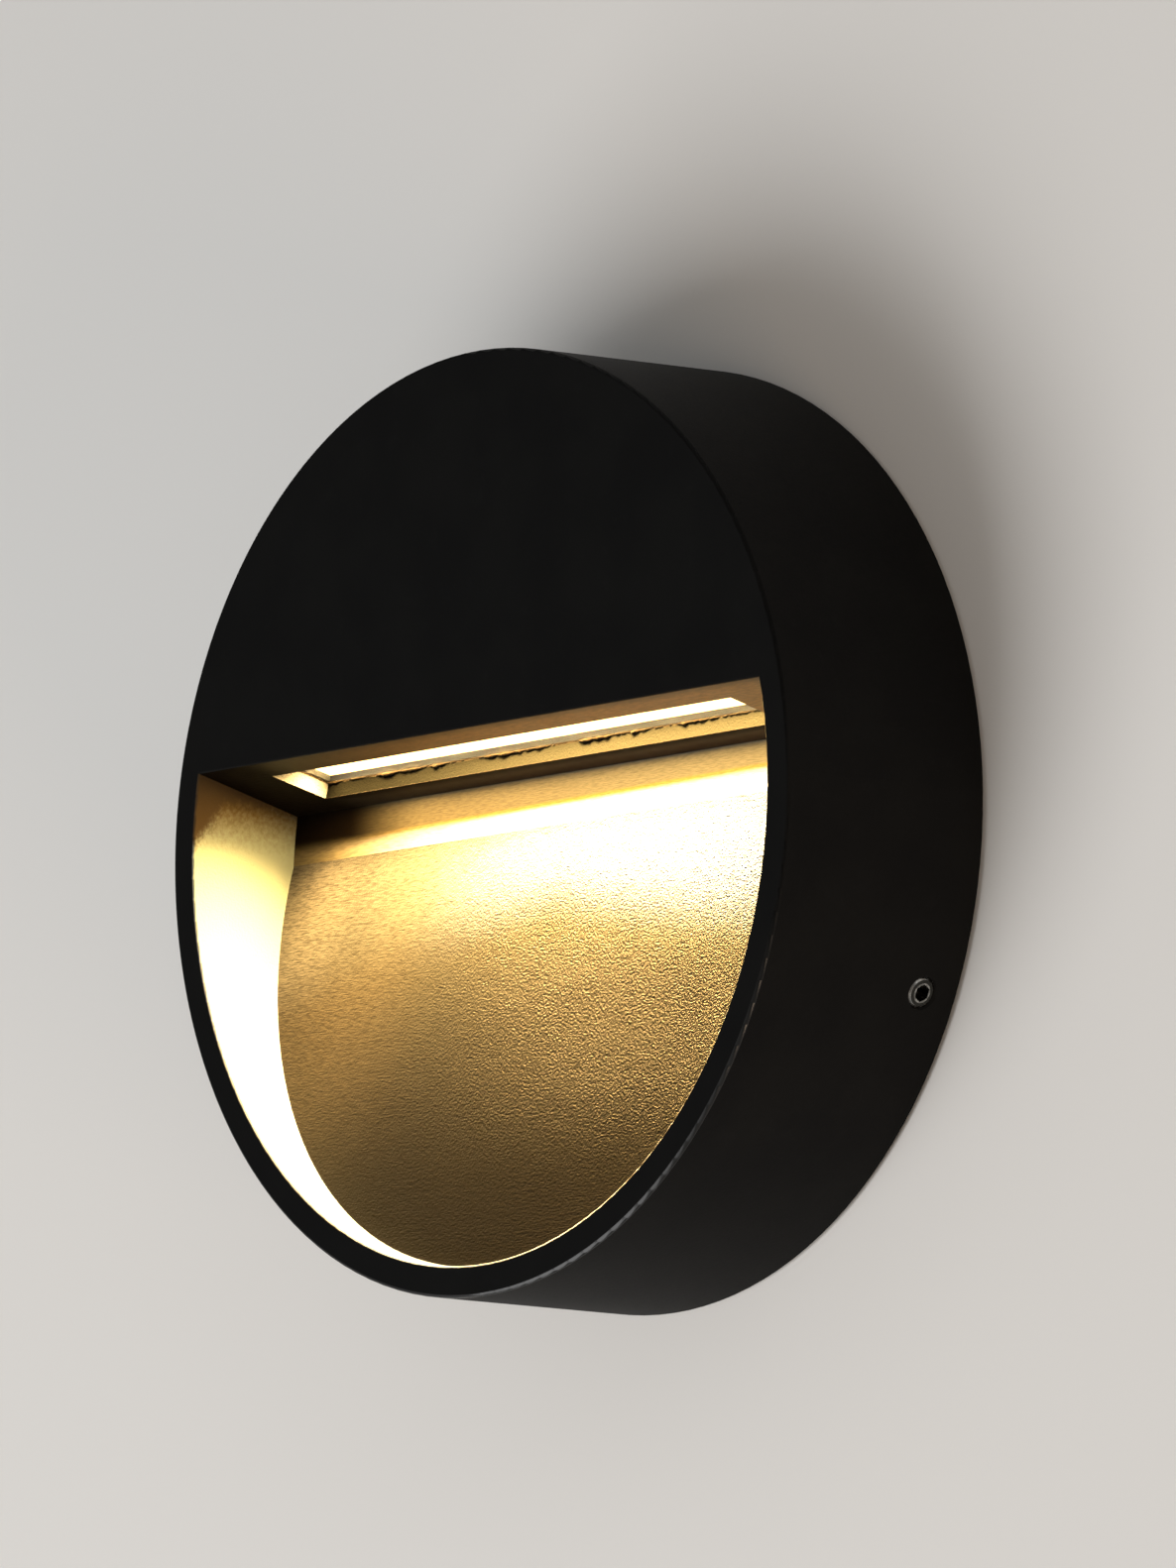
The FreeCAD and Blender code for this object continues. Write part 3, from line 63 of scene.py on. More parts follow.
# The bead of silicone along the slot's rear edge, which thins and swells as it runs
BEAD_SIDES = 8
BEAD_STEP = 0.4 * MM
BEAD_END = 0.3 * MM
BEAD_START = 0.22 * MM
BEAD_THINNEST = 0.03 * MM
BEAD_THICKEST = 0.34 * MM

# The copper lines under a board's mask
LANE_PITCH = 1.6 * MM
ROW_PITCH = 4.3 * MM

# What the lit strip sends out, by the lamp on its face and the weak one of the whole pane
LIT_COLOUR = (1.0, 0.62, 0.19)
LIT_STRENGTH = 5.0
SIDE_GLOW = (0.010, 0.005, 0.001)
SPOT_GLOW = (1.0, 0.82, 0.5)
LAMP_PLACE = 13.0 * MM
LAMP_OFF = LENS_TOP - 0.1 * MM
LAMP_WIDTH = 4.4 * MM
LAMP_WATTS = 2.6
LAMP_SPREAD = 125.0
GLOW_PLACE = 11.2 * MM
GLOW_OFF = 0.3 * MM
GLOW_LENGTH = 111.0 * MM
GLOW_WIDTH = 11.0 * MM
GLOW_WATTS = 0.26

# The warm cast of reflections low in the recess and on the pane
WARM_TINT = (1.0, 0.92, 0.76, 1.0)

# How far the coat's areas reach past the sharp edges that bound them
EDGE_SLACK = 0.1 * MM
SKIN = 0.03 * MM
CEILING_START = -0.04 * MM
LIP_START = 0.012 * MM
LIP_LIT = 0.25 * MM
LIP_REACH = 4.0 * MM

# The coat outside
OUTER_GLOSS = 0.05
OUTER_DARK = (0.0030, 0.0030, 0.0030)
OUTER_PALE = (0.0040, 0.0040, 0.0038)
OUTER_DUST = (0.008, 0.008, 0.008)

# The coat on the recess's back wall, its tones painted light and shade: from its foot up, then its left
# side, its bright band and its top
RECESS_ROUGHNESS, RECESS_GLOSS = 0.27, 0.07
FOOT_ROUGHNESS, FOOT_GLOSS = 0.4, 0.05
# The roughness and gloss of the dark matt shader that carries the painted shade
PAINTED_SHADE_ROUGHNESS, PAINTED_SHADE_GLOSS = 0.6, 0.02
RELIEF_DEPTH = 0.37 * MM
# Painted shade at the foot, lighter higher up, and painted light at the lower left
RECESS_LOW = (0.0060, 0.0055, 0.0053)
RECESS_MIDDLE = (0.0145, 0.0138, 0.0122)
RECESS_LEFT = (0.026, 0.0215, 0.0155)
# A painted highlight in the band below the bend, bluish at the right, with painted light in the far
# left corner
HIGH_RIGHT = (0.036, 0.053, 0.115)
HIGH_LEFT = (0.023, 0.023, 0.022)
HIGH_CORNER = (0.058, 0.054, 0.050)
# Above the bend: a painted highlight below the strip's shadow edge, and a yellow painted penumbra at
# that edge
HOT_EDGE = (0.220, 0.250, 0.320)
SHADE_EDGE = (0.170, 0.120, 0.030)
# Painted light between the strip's painted shadow edge and the ceiling
TOP_LEFT = (0.084, 0.069, 0.040)
TOP_RIGHT = (0.090, 0.083, 0.062)
CORNER_SHADE = (0.0022, 0.0013, 0.0006)
RECESS_WEAR = (0.004, 0.003, 0.002)
SHADE_SLOPE = 0.0115

# The coat on the recess's round side wall, on its ceiling and inside the slot, its tones painted light
# and shade
# The side wall: painted light, bluish low down and palest higher up, with painted shade at its mottled
# top
SIDE_WALL_LOW = (0.090, 0.105, 0.150)
SIDE_WALL_HIGH = (0.150, 0.175, 0.150)
SIDE_WALL_TOP = (0.060, 0.042, 0.016)
SIDE_SHADE = (0.0340, 0.0230, 0.0120)
CEILING_GLOSS = 0.08
CEILING_RELIEF = 0.08 * MM
# The ceiling: painted shade towards its left end, near its front edge and on the land behind the slot,
# and a brown painted bounce light beside the slot
CEILING_LEFT = (0.003, 0.002, 0.001)
CEILING_RIGHT = (0.135, 0.066, 0.018)
CEILING_REAR = (0.012, 0.0045, 0.0012)
CEILING_WEAR = (0.010, 0.006, 0.003)
# The slot's walls: painted shade, darkest at the left, and painted light on the end walls
SLOT_LEFT = (0.0007, 0.0007, 0.0006)
SLOT_RIGHT = (0.0040, 0.0040, 0.0034)
SLOT_END = (0.035, 0.036, 0.040)

# The pale wall behind the light, and the hole in it that the wall plate hides
WALL_SIZE = 5.0
WALL_GAP = 0.5 * MM
WALL_HOLE = 68.0 * MM
WALL_STEPS = 96

# The studio's dim light, the ground that only the camera sees, and the warm lamp low on the right
ROOM_COLOUR = (1.0, 0.99, 0.97)
ROOM_LEVEL = 0.28
GROUND_COLOUR = (0.72, 0.71, 0.69)
LOW_LAMP_COLOUR = (1.0, 0.74, 0.52)

# The photograph's frame and where its camera stood
PHOTO_HEIGHT = 1582
CAMERA_AZIMUTH = 48.817
CAMERA_ELEVATION = -7.468
CAMERA_ROLL = -0.44
CAMERA_DISTANCE = 1.561
FOCAL_PIXELS = 9845.0
ORIGIN_RIGHT_OF_MIDDLE = 73.9
ORIGIN_BELOW_MIDDLE = 58.2
SENSOR = 36.0


def ceiling_point(x, along, off):
    """A point by its place on the recess's ceiling: along it from the front, and off above it."""
    return Vector((
        x,
        FRONT + along * math.cos(TILT) + off * math.sin(TILT),
        CHORD_HEIGHT - along * math.sin(TILT) + off * math.cos(TILT),
    ))


def outwards_at(azimuth, elevation):
    """The direction to a place round the light, in degrees right of its front and above level."""
    a, e = math.radians(azimuth), math.radians(elevation)
    return Vector((math.sin(a) * math.cos(e), -math.cos(a) * math.cos(e), math.sin(e)))


def place_object(name, data):
    """A new object in the scene."""
    placed = bpy.data.objects.new(name, data)
    bpy.context.scene.collection.objects.link(placed)
    return placed


class Value:
    """A number, colour or vector inside a finish. Sums on numbers add their Math nodes."""

    def __init__(self, shading, socket):
        self.shading = shading
        self.socket = socket

    def maths(self, operation, *others):
        values = dict(enumerate((self,) + others))
        return self.shading.node("ShaderNodeMath", {"operation": operation}, values)

    def __add__(self, other):
        return self.maths("ADD", other)

    def __sub__(self, other):
        return self.maths("SUBTRACT", other)

    def __rsub__(self, other):
        return self.shading.node("ShaderNodeMath", {"operation": "SUBTRACT"}, {0: other, 1: self})

    def __mul__(self, other):
        return self.maths("MULTIPLY", other)

    def __pow__(self, other):
        return self.maths("POWER", other)

    def __gt__(self, other):
        return self.maths("GREATER_THAN", other)

    def __lt__(self, other):
        return self.maths("LESS_THAN", other)

    __radd__ = __add__
    __rmul__ = __mul__

    def size(self):
        return self.maths("ABSOLUTE")

    def or_more(self, other):
        return self.maths("MAXIMUM", other)

    def clamped(self):
        return self.shading.node("ShaderNodeClamp", {}, {"Value": self})

    def between(self, low, high):
        """0 at low, 1 at high, smooth between and level beyond."""
        return self.shading.node(
            "ShaderNodeMapRange", {"interpolation_type": "SMOOTHSTEP"},
            {"Value": self, "From Min": low, "From Max": high},
        )


class Shading:
    """A tree of shader nodes under construction, for a finish or for the studio round the light."""

    def __init__(self, owner, output):
        owner.use_nodes = True
        self.owner = owner
        self.tree = owner.node_tree
        self.tree.nodes.clear()
        self.output = self.tree.nodes.new(output)

    def node(self, kind, settings, inputs, output=0):
        """Adds a node: its settings first, then the values or links of its sockets."""
        made = self.tree.nodes.new(kind)
        for name, value in settings.items():
            setattr(made, name, value)
        for name, value in inputs.items():
            if isinstance(value, Value):
                self.tree.links.new(value.socket, made.inputs[name])
            else:
                made.inputs[name].default_value = value
        return Value(self, made.outputs[output])

    def blended(self, factor, first, second):
        """One shader where factor is 0, the other where it is 1."""
        return self.node("ShaderNodeMixShader", {}, {0: factor, 1: first, 2: second})

    def finish_with(self, shader):
        self.tree.links.new(shader.socket, self.output.inputs["Surface"])
        return self.owner


class Finish(Shading):
    """A material under construction, with the few patterns that this light's surfaces are made of."""

    def __init__(self, name):
        super().__init__(bpy.data.materials.new(name), "ShaderNodeOutputMaterial")
        self.place = self.node("ShaderNodeTexCoord", {}, {}, "Object")

    def axes(self):
        """The x, y and z of the place on the piece."""
        parts = self.node("ShaderNodeSeparateXYZ", {}, {"Vector": self.place})
        return [Value(self, output) for output in parts.socket.node.outputs]

    def drawn_grain(self, lengths, detail=3.0):
        """Grain whose lumps have their own length along each axis, so that it runs one way."""
        scale = [1 / length for length in lengths]
        inputs = {0: self.place, 1: scale}
        stretched = self.node("ShaderNodeVectorMath", {"operation": "MULTIPLY"}, inputs)
        return self.noise(1.0, detail, place=stretched)

    def noise(self, size, detail=2.0, roughness=0.5, place=None):
        """Soft grain whose lumps are about size across."""
        inputs = {"Vector": place or self.place, "Scale": 1 / size}
        inputs.update({"Detail": detail, "Roughness": roughness})
        return self.node("ShaderNodeTexNoise", {}, inputs)

    def cells(self, size):
        """The distance from the middle of small round cells."""
        inputs = {"Vector": self.place, "Scale": 1 / size}
        return self.node("ShaderNodeTexVoronoi", {}, inputs, "Distance")

    def mix(self, factor, first, second):
        """A colour between two, by factor."""
        inputs = {0: factor, 6: rgba(first), 7: rgba(second)}
        return self.node("ShaderNodeMix", {"data_type": "RGBA"}, inputs, 2)

    def bump(self, height, depth, strength=1.0):
        inputs = {"Height": height, "Distance": depth, "Strength": strength}
        return self.node("ShaderNodeBump", {}, inputs)

    def shader(self, **sockets):
        """A Principled shader, its sockets named with _ for spaces."""
        inputs = {name.replace("_", " "): value for name, value in sockets.items()}
        inputs = {name: rgba(value) if "Color" in name else value for name, value in inputs.items()}
        return self.node("ShaderNodeBsdfPrincipled", {}, inputs)

    def surface(self, **sockets):
        return self.finish_with(self.shader(**sockets))


def rgba(colour):
    """A colour as a socket takes it."""
    return colour if isinstance(colour, Value) else (*colour, 1.0)


def toned(tone, factor):
    """A plain colour made darker."""
    return [factor * c for c in tone]


def dress(material, *names):
    """Puts one finish on these nodes."""
    for name in names:
        for slot in NODES[name].material_slots:
            slot.material = material


class CoatPlaces:
    """Where a point of the housing's coat lies, and to which of its areas it belongs."""

    def __init__(self, coat):
        self.x, y, self.z = coat.axes()
        self.back = y - FRONT
        up = self.z - CHORD_HEIGHT
        self.off = self.back * math.sin(TILT) + up * math.cos(TILT)
        self.along = self.back * math.cos(TILT) - up * math.sin(TILT)
        self.radius = (self.x * self.x + self.z * self.z) ** 0.5

        inside = (self.radius < OPENING_RADIUS + LIP_LIT) * (self.back > LIP_START)
        past_lip = self.along > LIP_REACH
        self.recess = inside * (self.off < SKIN)
        self.slot = inside * (self.off > SKIN) * past_lip * (self.along < SLOT_REAR + EDGE_SLACK)
        self.slot_end = self.x.size() > SLOT_HALF_LENGTH - EDGE_SLACK
        self.side_wall = self.radius > OPENING_RADIUS - EDGE_SLACK
        self.ceiling = self.off > CEILING_START
        self.below_bend = self.z < BEND_HEIGHT

        # The back wall's part between the strip's two ends, and the shade on its rough right side
        self.lit_side = self.x.between(-64 * MM, -2 * MM) * self.x.between(66 * MM, 50 * MM)
        self.rough_shade = self.x.between(-25 * MM, 38 * MM) * self.z.between(-16 * MM, -30 * MM)


class CoatGrain:
    """The patterns that the areas of the recess's coat share, and the relief that they make."""

    def __init__(self, coat, at):
        self.sand = coat.noise(0.31 * MM, detail=1.0)
        grit = coat.cells(0.42 * MM)
        # A mottle that breaks up the edges of the painted shade on the side wall
        self.shade_mottle = coat.noise(0.7 * MM, detail=3.0, roughness=0.65)
        self.pits = coat.noise(2.6 * MM)
        drawn = coat.drawn_grain((1.6 * MM, 0.4 * MM, 0.22 * MM))
        self.wear_and_glint = drawn.between(0.35, 0.7)
        rough_side = at.x.between(-45 * MM, 25 * MM) * at.z.between(-62 * MM, -36 * MM) * 0.85 + 0.15
        sandy = (self.sand * 0.9 + (1 - grit) * 0.4) * rough_side * at.below_bend
        self.coarse = sandy + drawn * 0.14 + self.pits * 0.03
        self.relief = coat.bump(self.coarse, RELIEF_DEPTH)


def outer_coat(coat, at):
    """The outside: fine and matt, a little dusty, with a faint shine on the front's lower edge."""
    fine = coat.noise(0.45 * MM, detail=3.0, roughness=0.6)
    flow = coat.noise(14 * MM)
    dust = coat.noise(5 * MM, detail=4.0, roughness=0.7).between(0.52, 0.8)
    tone = coat.mix(flow.between(0.3, 0.7), OUTER_DARK, OUTER_PALE)
    tone = coat.mix(dust * 0.2, tone, OUTER_DUST)
    rim = (at.radius > FRONT_RADIUS - 0.5 * MM) * (at.back < 0.6 * MM)
    edge = rim * at.z.between(-15 * MM, -45 * MM)
    return coat.shader(Base_Color=tone, Roughness=0.52 + fine * 0.1, Specular_IOR_Level=OUTER_GLOSS,
                       Normal=coat.bump(fine, 0.02 * MM), Coat_Weight=edge * 0.7, Coat_Roughness=0.3)


def back_wall_tone(coat, at, grain):
    """The recess's back wall in painted light and shade: painted shade at the foot, painted warm light
    at the left, a painted highlight in the band below the bend.
    """
    x, z = at.x, at.z
    # Painted shade at the foot, painted light at the lower left, and painted shade on the rough right
    # side
    tone = coat.mix(z.between(-58 * MM, -14 * MM), RECESS_LOW, RECESS_MIDDLE)
    lit_left = x.between(-22 * MM, -58 * MM) * z.between(-62 * MM, -30 * MM)
    tone = coat.mix(lit_left, tone, RECESS_LEFT)
    tone = coat.mix(at.rough_shade * 0.95, tone, RECESS_LOW)
    # The painted highlight in the band below the bend
    high = coat.mix(x.between(-40 * MM, 15 * MM), HIGH_LEFT, HIGH_RIGHT)
    high = coat.mix(x.between(-48 * MM, -66 * MM), high, HIGH_CORNER)
    band = (z + x.size() * 0.18).between(-16 * MM, -1 * MM)
    tone = coat.mix(band, tone, high)

    # Above the bend: painted light, cut by the strip's painted shadow edge, with a painted highlight
    # below that edge
    shade_line = z - x * SHADE_SLOPE
    hot = coat.mix(shade_line.between(5.2 * MM, 4.5 * MM), SHADE_EDGE, HOT_EDGE)
    top = coat.mix(x.between(-45 * MM, 30 * MM), TOP_LEFT, TOP_RIGHT)
    top = coat.mix(shade_line.between(5.8 * MM, 5.2 * MM) * at.lit_side, top, hot)
    tone = coat.mix(at.below_bend, top, tone)
    return coat.mix(grain.wear_and_glint * (at.below_bend * 0.3 + 0.3), tone, RECESS_WEAR)


def side_wall_tone(coat, at, grain):
    """The recess's round side wall in painted light, brightest of all, with painted shade at its
    mottled top.
    """
    tone = coat.mix(at.z.between(-22 * MM, 4 * MM), SIDE_WALL_LOW, SIDE_WALL_HIGH)
    # Painted shade at the top, its edge mottled
    shaded_top = (at.z + grain.shade_mottle * 6 * MM).between(5 * MM, 14 * MM)
    return coat.mix(shaded_top, tone, SIDE_WALL_TOP)


def recess_shade(at, grain):
    """Where the recess gets painted shade: its top corners, the side wall's top, and part of the rough
    side.
    """
    corners = at.x.between(-36 * MM, -56 * MM) + at.x.between(50 * MM, 67 * MM)
    dark_corner = corners * at.z.between(2.5 * MM, 5.5 * MM)
    mottled = at.z + grain.shade_mottle * 4 * MM - 0.5 * MM
    slanted = (mottled - at.back * 1.25).between(2.6 * MM, 6.2 * MM)
    shaded = mottled.between(10.4 * MM, 13.4 * MM).or_more(slanted)
    return at.side_wall * shaded + (1 - at.side_wall) * (dark_corner + at.rough_shade * 0.3)


def recess_coat(coat, at, grain, painted_shade):
    """The recess below its ceiling: a coarse sandy satin, glossier towards the top, its tones painted
    light and shade, with painted shade laid over where recess_shade puts it.
    """
    tone = coat.mix(at.side_wall, back_wall_tone(coat, at, grain), side_wall_tone(coat, at, grain))
    upper = coat.shader(Base_Color=tone, Roughness=RECESS_ROUGHNESS + grain.pits * 0.1,
                        Normal=grain.relief, Specular_IOR_Level=RECESS_GLOSS)
    foot = coat.shader(Base_Color=tone, Roughness=FOOT_ROUGHNESS + grain.pits * 0.1,
                       Normal=grain.relief, Specular_IOR_Level=FOOT_GLOSS, Specular_Tint=WARM_TINT)
    height = at.z.between(-52 * MM, 0 * MM) * (at.lit_side * 0.65 + 0.35)
    # The painted shade goes over the coat where recess_shade puts it
    return coat.blended(recess_shade(at, grain), coat.blended(height, foot, upper), painted_shade)


def ceiling_coat(coat, at, grain, painted_shade):
    """The recess's ceiling: a brown painted bounce light beside the slot, painted shade at the left
    end, near the front edge and in a band behind the slot.
    """
    # Painted shade on the land behind the slot, towards the left end and near the front edge; a brown
    # painted bounce light beside the slot
    tone = coat.mix(at.along > SLOT_REAR - 0.2 * MM, CEILING_RIGHT, CEILING_REAR)
    tone = coat.mix(at.x.between(-60 * MM, 12 * MM), CEILING_LEFT, tone)
    tone = coat.mix(at.along.between(2.5 * MM, 0.2 * MM) * 0.6, tone, CEILING_LEFT)
    tone = coat.mix(grain.wear_and_glint * 0.4, tone, CEILING_WEAR)
    lid = coat.shader(Base_Color=tone, Roughness=0.5 + grain.pits * 0.1,
                      Normal=coat.bump(grain.coarse, CEILING_RELIEF), Specular_IOR_Level=CEILING_GLOSS)
    # The painted shade over the land behind the slot and the ceiling's left end
    behind_slot = at.along > SLOT_REAR - EDGE_SLACK
    rear_land_shade = at.along.between(SLOT_REAR + 2.4 * MM, SLOT_REAR + 0.6 * MM) * behind_slot * 0.8
    return coat.blended(at.x.between(-48 * MM, -58 * MM).or_more(rear_land_shade), lid, painted_shade)


def slot_coat(coat, at, grain):
    """The walls of the slot, right beside the lit strip: thin and matt, in painted shade darkest at the
    left, with painted light on the end walls.
    """
    tone = coat.mix(at.x.between(-50 * MM, 20 * MM), SLOT_LEFT, SLOT_RIGHT)
    tone = coat.mix(at.slot_end, tone, SLOT_END)
    return coat.shader(Base_Color=tone, Roughness=0.7, Specular_IOR_Level=0.0,
                       Normal=coat.bump(grain.sand, 0.1 * MM))


def powder_coat():
    """The housing's black powder coat, with a finish of its own for each area, and painted light and
    shade inside the recess.
    """
    coat = Finish("powder_coat")
    at = CoatPlaces(coat)
    grain = CoatGrain(coat, at)
    # The painted shade: a dark matt shader laid over shaded corners of the recess, the ceiling's left
    # end and the land behind the slot
    painted_shade_tone = coat.mix(at.side_wall, CORNER_SHADE, SIDE_SHADE)
    painted_shade = coat.shader(Base_Color=painted_shade_tone, Roughness=PAINTED_SHADE_ROUGHNESS + grain.pits * 0.1,
                       Normal=grain.relief, Specular_IOR_Level=PAINTED_SHADE_GLOSS)
    recess = recess_coat(coat, at, grain, painted_shade)
    ceiling = ceiling_coat(coat, at, grain, painted_shade)
    skin = coat.blended(at.recess, outer_coat(coat, at), coat.blended(at.ceiling, recess, ceiling))
    return coat.finish_with(coat.blended(at.slot, skin, slot_coat(coat, at, grain)))


def turned_metal(name, tone, grain=0.05 * MM):
    """A turned or stamped fitting: fine tool marks and a little staining."""
    metal = Finish(name)
    marks = metal.noise(grain)
    stain = metal.noise(1.6 * MM, detail=3.0).between(0.4, 0.75)
    colour = metal.mix(stain * 0.5, tone, toned(tone, 0.55))
    return metal.surface(Base_Color=colour, Metallic=1.0, Roughness=0.22 + marks * 0.12 + stain * 0.15,
                         Normal=metal.bump(marks, 0.01 * MM, 0.6))


def grub_steel():
    """The grub screws: a painted glint at the edge and round the hex socket, a painted dark reflection
    on the steel between, and painted shade in the socket.
    """
    steel = Finish("grub_skin")
    x, y, z = steel.axes()
    sideways, downwards = GRUB_AXIS
    across = z * sideways - x.size() * downwards
    depth = y - GRUB_DEPTH
    radius = (across * across + depth * depth) ** 0.5
    marks = steel.noise(0.12 * MM)
    glint_noise = steel.noise(0.9 * MM).between(0.35, 0.65)
    socket_ring = (radius > GRUB_SOCKET) * (radius < GRUB_SOCKET + 0.3 * MM)
    wear_and_glint = (radius > GRUB_EDGE) + socket_ring * 0.7
    # The painted glint at the edge and round the socket, broken up by noise, over the painted dark
    # reflection; then the painted shade in the socket
    colour = steel.mix(wear_and_glint.clamped() * (glint_noise * 0.6 + 0.4), GRUB_DARK_REFLECTION, GRUB_EDGE_GLINT)
    colour = steel.mix(radius < GRUB_SOCKET - 0.05 * MM, colour, GRUB_SOCKET_SHADE)
    return steel.surface(Base_Color=colour, Metallic=1.0, Roughness=0.2 + marks * 0.15,
                         Normal=steel.bump(marks, 0.02 * MM, 0.6))


def cast_metal(name, tone, grain, rough):
    """Bare aluminium: a mill or cast skin with soft streaks from side to side and small pits."""
    metal = Finish(name)
    streaks = metal.drawn_grain((18 * MM, 0.5 * MM, 0.5 * MM))
    pits = metal.noise(grain, detail=3.0, roughness=0.6)
    scuffs = metal.noise(9 * MM, detail=4.0, roughness=0.7).between(0.45, 0.7)
    colour = metal.mix(streaks.between(0.3, 0.7), toned(tone, 0.86), tone)
    colour = metal.mix(scuffs * 0.3, colour, toned(tone, 0.7))
    return metal.surface(Base_Color=colour, Metallic=1.0, Roughness=rough + pits * 0.12 + scuffs * 0.1,
                         Normal=metal.bump(streaks * 0.5 + pits * 0.5, 0.03 * MM))


def moulded(name, tone, rough, grain=0.35 * MM, depth=0.02 * MM):
    """A moulded plastic or rubber skin: fine grain, faint flow marks and dulled patches."""
    skin = Finish(name)
    fine = skin.noise(grain)
    flow = skin.noise(7 * MM)
    colour = skin.mix(flow.between(0.35, 0.7), toned(tone, 0.9), tone)
    colour = skin.mix(fine.between(0.6, 0.8) * 0.25, colour, toned(tone, 0.75))
    return skin.surface(Base_Color=colour, Roughness=rough + flow * 0.1, Normal=skin.bump(fine, depth))


def foam():
    """Closed-cell foam: small round cells cut open at the skin."""
    skin = Finish("gasket_foam")
    depth = skin.cells(0.8 * MM) * 0.6 + skin.cells(0.35 * MM) * 0.4
    # Darker towards each cell's middle: a painted shade in its hollow
    colour = skin.mix(depth.between(0.1, 0.6), (0.012, 0.012, 0.013), (0.055, 0.055, 0.057))
    return skin.surface(Base_Color=colour, Roughness=0.9, Normal=skin.bump(depth, 0.15 * MM),
                        Specular_IOR_Level=0.2)


def silicone(name, tone, speck):
    """Cured silicone, lumpy where it was squeezed, with specks of dust on it."""
    skin = Finish(name)
    lumps = skin.noise(0.7 * MM, detail=3.0, roughness=0.6)
    specks = skin.noise(0.5 * MM, detail=1.0).between(0.62, 0.68)
    return skin.surface(Base_Color=skin.mix(specks, tone, speck), Roughness=0.5 + lumps * 0.2,
                        Normal=skin.bump(lumps, 0.12 * MM), Specular_IOR_Level=0.04)


def pane():
    """The clear lens: toughened glass with a faint green body and a breath of haze."""
    glass = Finish("lens_pane")
    haze = glass.noise(6 * MM, detail=3.0).between(0.45, 0.8)
    ripple = glass.noise(9 * MM, detail=1.0)
    return glass.surface(Base_Color=(0.93, 0.97, 0.95), Roughness=haze * 0.03,
                         Normal=glass.bump(ripple, 0.02 * MM, 0.2), Transmission_Weight=1.0, IOR=1.5,
                         Specular_IOR_Level=0.2, Specular_Tint=WARM_TINT)


def lit_opal():
    """The diffuser: brightest on the face that lies on the lens, dimmer on its sides."""
    opal = Finish("lit_opal")
    _, y, z = opal.axes()
    off = (y - FRONT) * math.sin(TILT) + (z - CHORD_HEIGHT) * math.cos(TILT)
    face = 1 - off.between(LENS_TOP + 0.01 * MM, LENS_TOP + 0.04 * MM)
    spots = opal.noise(4 * MM, detail=1.0).between(0.2, 0.8)
    glow = opal.mix(face, SIDE_GLOW, LIT_COLOUR)
    glow = opal.mix(spots * face * 0.15, glow, SPOT_GLOW)
    return opal.surface(Base_Color=(0.75, 0.7, 0.6), Roughness=0.5, Emission_Color=glow,
                        Emission_Strength=LIT_STRENGTH)


def lit_phosphor():
    """The chips: yellow phosphor in a pale frame, lit."""
    chip = Finish("lit_phosphor")
    colour = chip.mix(chip.noise(0.3 * MM), (0.75, 0.55, 0.12), (0.85, 0.70, 0.25))
    return chip.surface(Base_Color=colour, Roughness=0.4, Emission_Color=(1.0, 0.75, 0.35),
                        Emission_Strength=0.1)


def solder_mask(name, tone, trace):
    """A printed board: matt mask, copper lines just showing through it, and a faint relief."""
    board = Finish(name)
    x, _, z = board.axes()
    lanes = (x * (1 / LANE_PITCH)).maths("FRACT") < 0.18
    rows = (z * (1 / ROW_PITCH)).maths("FRACT") < 0.12
    lines = (lanes + rows).clamped()
    fine = board.noise(0.5 * MM)
    colour = board.mix(lines * 0.7, tone, trace)
    colour = board.mix(fine * 0.2, colour, toned(tone, 0.7))
    return board.surface(Base_Color=colour, Roughness=0.38 + fine * 0.15,
                         Normal=board.bump(lines * 0.7 + fine * 0.3, 0.03 * MM))


def sleeve(name, tone, stripe=None):
    """A lead's insulation: satin, faintly ribbed, with a second colour along it where it has one."""
    skin = Finish(name)
    ribs = skin.noise(0.4 * MM, detail=1.0)
    scuffs = skin.noise(2.5 * MM, detail=3.0).between(0.5, 0.8)
    colour = skin.mix(scuffs * 0.3, tone, [0.6 * c + 0.02 for c in tone])
    if stripe:
        _, y, z = skin.axes()
        side = (y * (1 / (1.1 * MM)) + z * (1 / (2.6 * MM))).maths("FRACT") < 0.4
        colour = skin.mix(side, colour, stripe)
    return skin.surface(Base_Color=colour, Roughness=0.36 + ribs * 0.15,
                        Normal=skin.bump(ribs, 0.02 * MM))


def plaster():
    """The wall's pale plaster, which shows from the front only."""
    paint = Finish("pale_plaster")
    tone = paint.mix(paint.noise(0.35, detail=3.0), (0.71, 0.70, 0.68), (0.74, 0.73, 0.71))
    grain = paint.noise(1.2 * MM, detail=3.0)
    front = paint.shader(Base_Color=tone, Roughness=0.85, Specular_IOR_Level=0.2,
                         Normal=paint.bump(grain, 0.03 * MM, 0.5))
    clear = paint.node("ShaderNodeBsdfTransparent", {}, {})
    behind = paint.node("ShaderNodeNewGeometry", {}, {}, "Backfacing")
    return paint.finish_with(paint.blended(behind, front, clear))


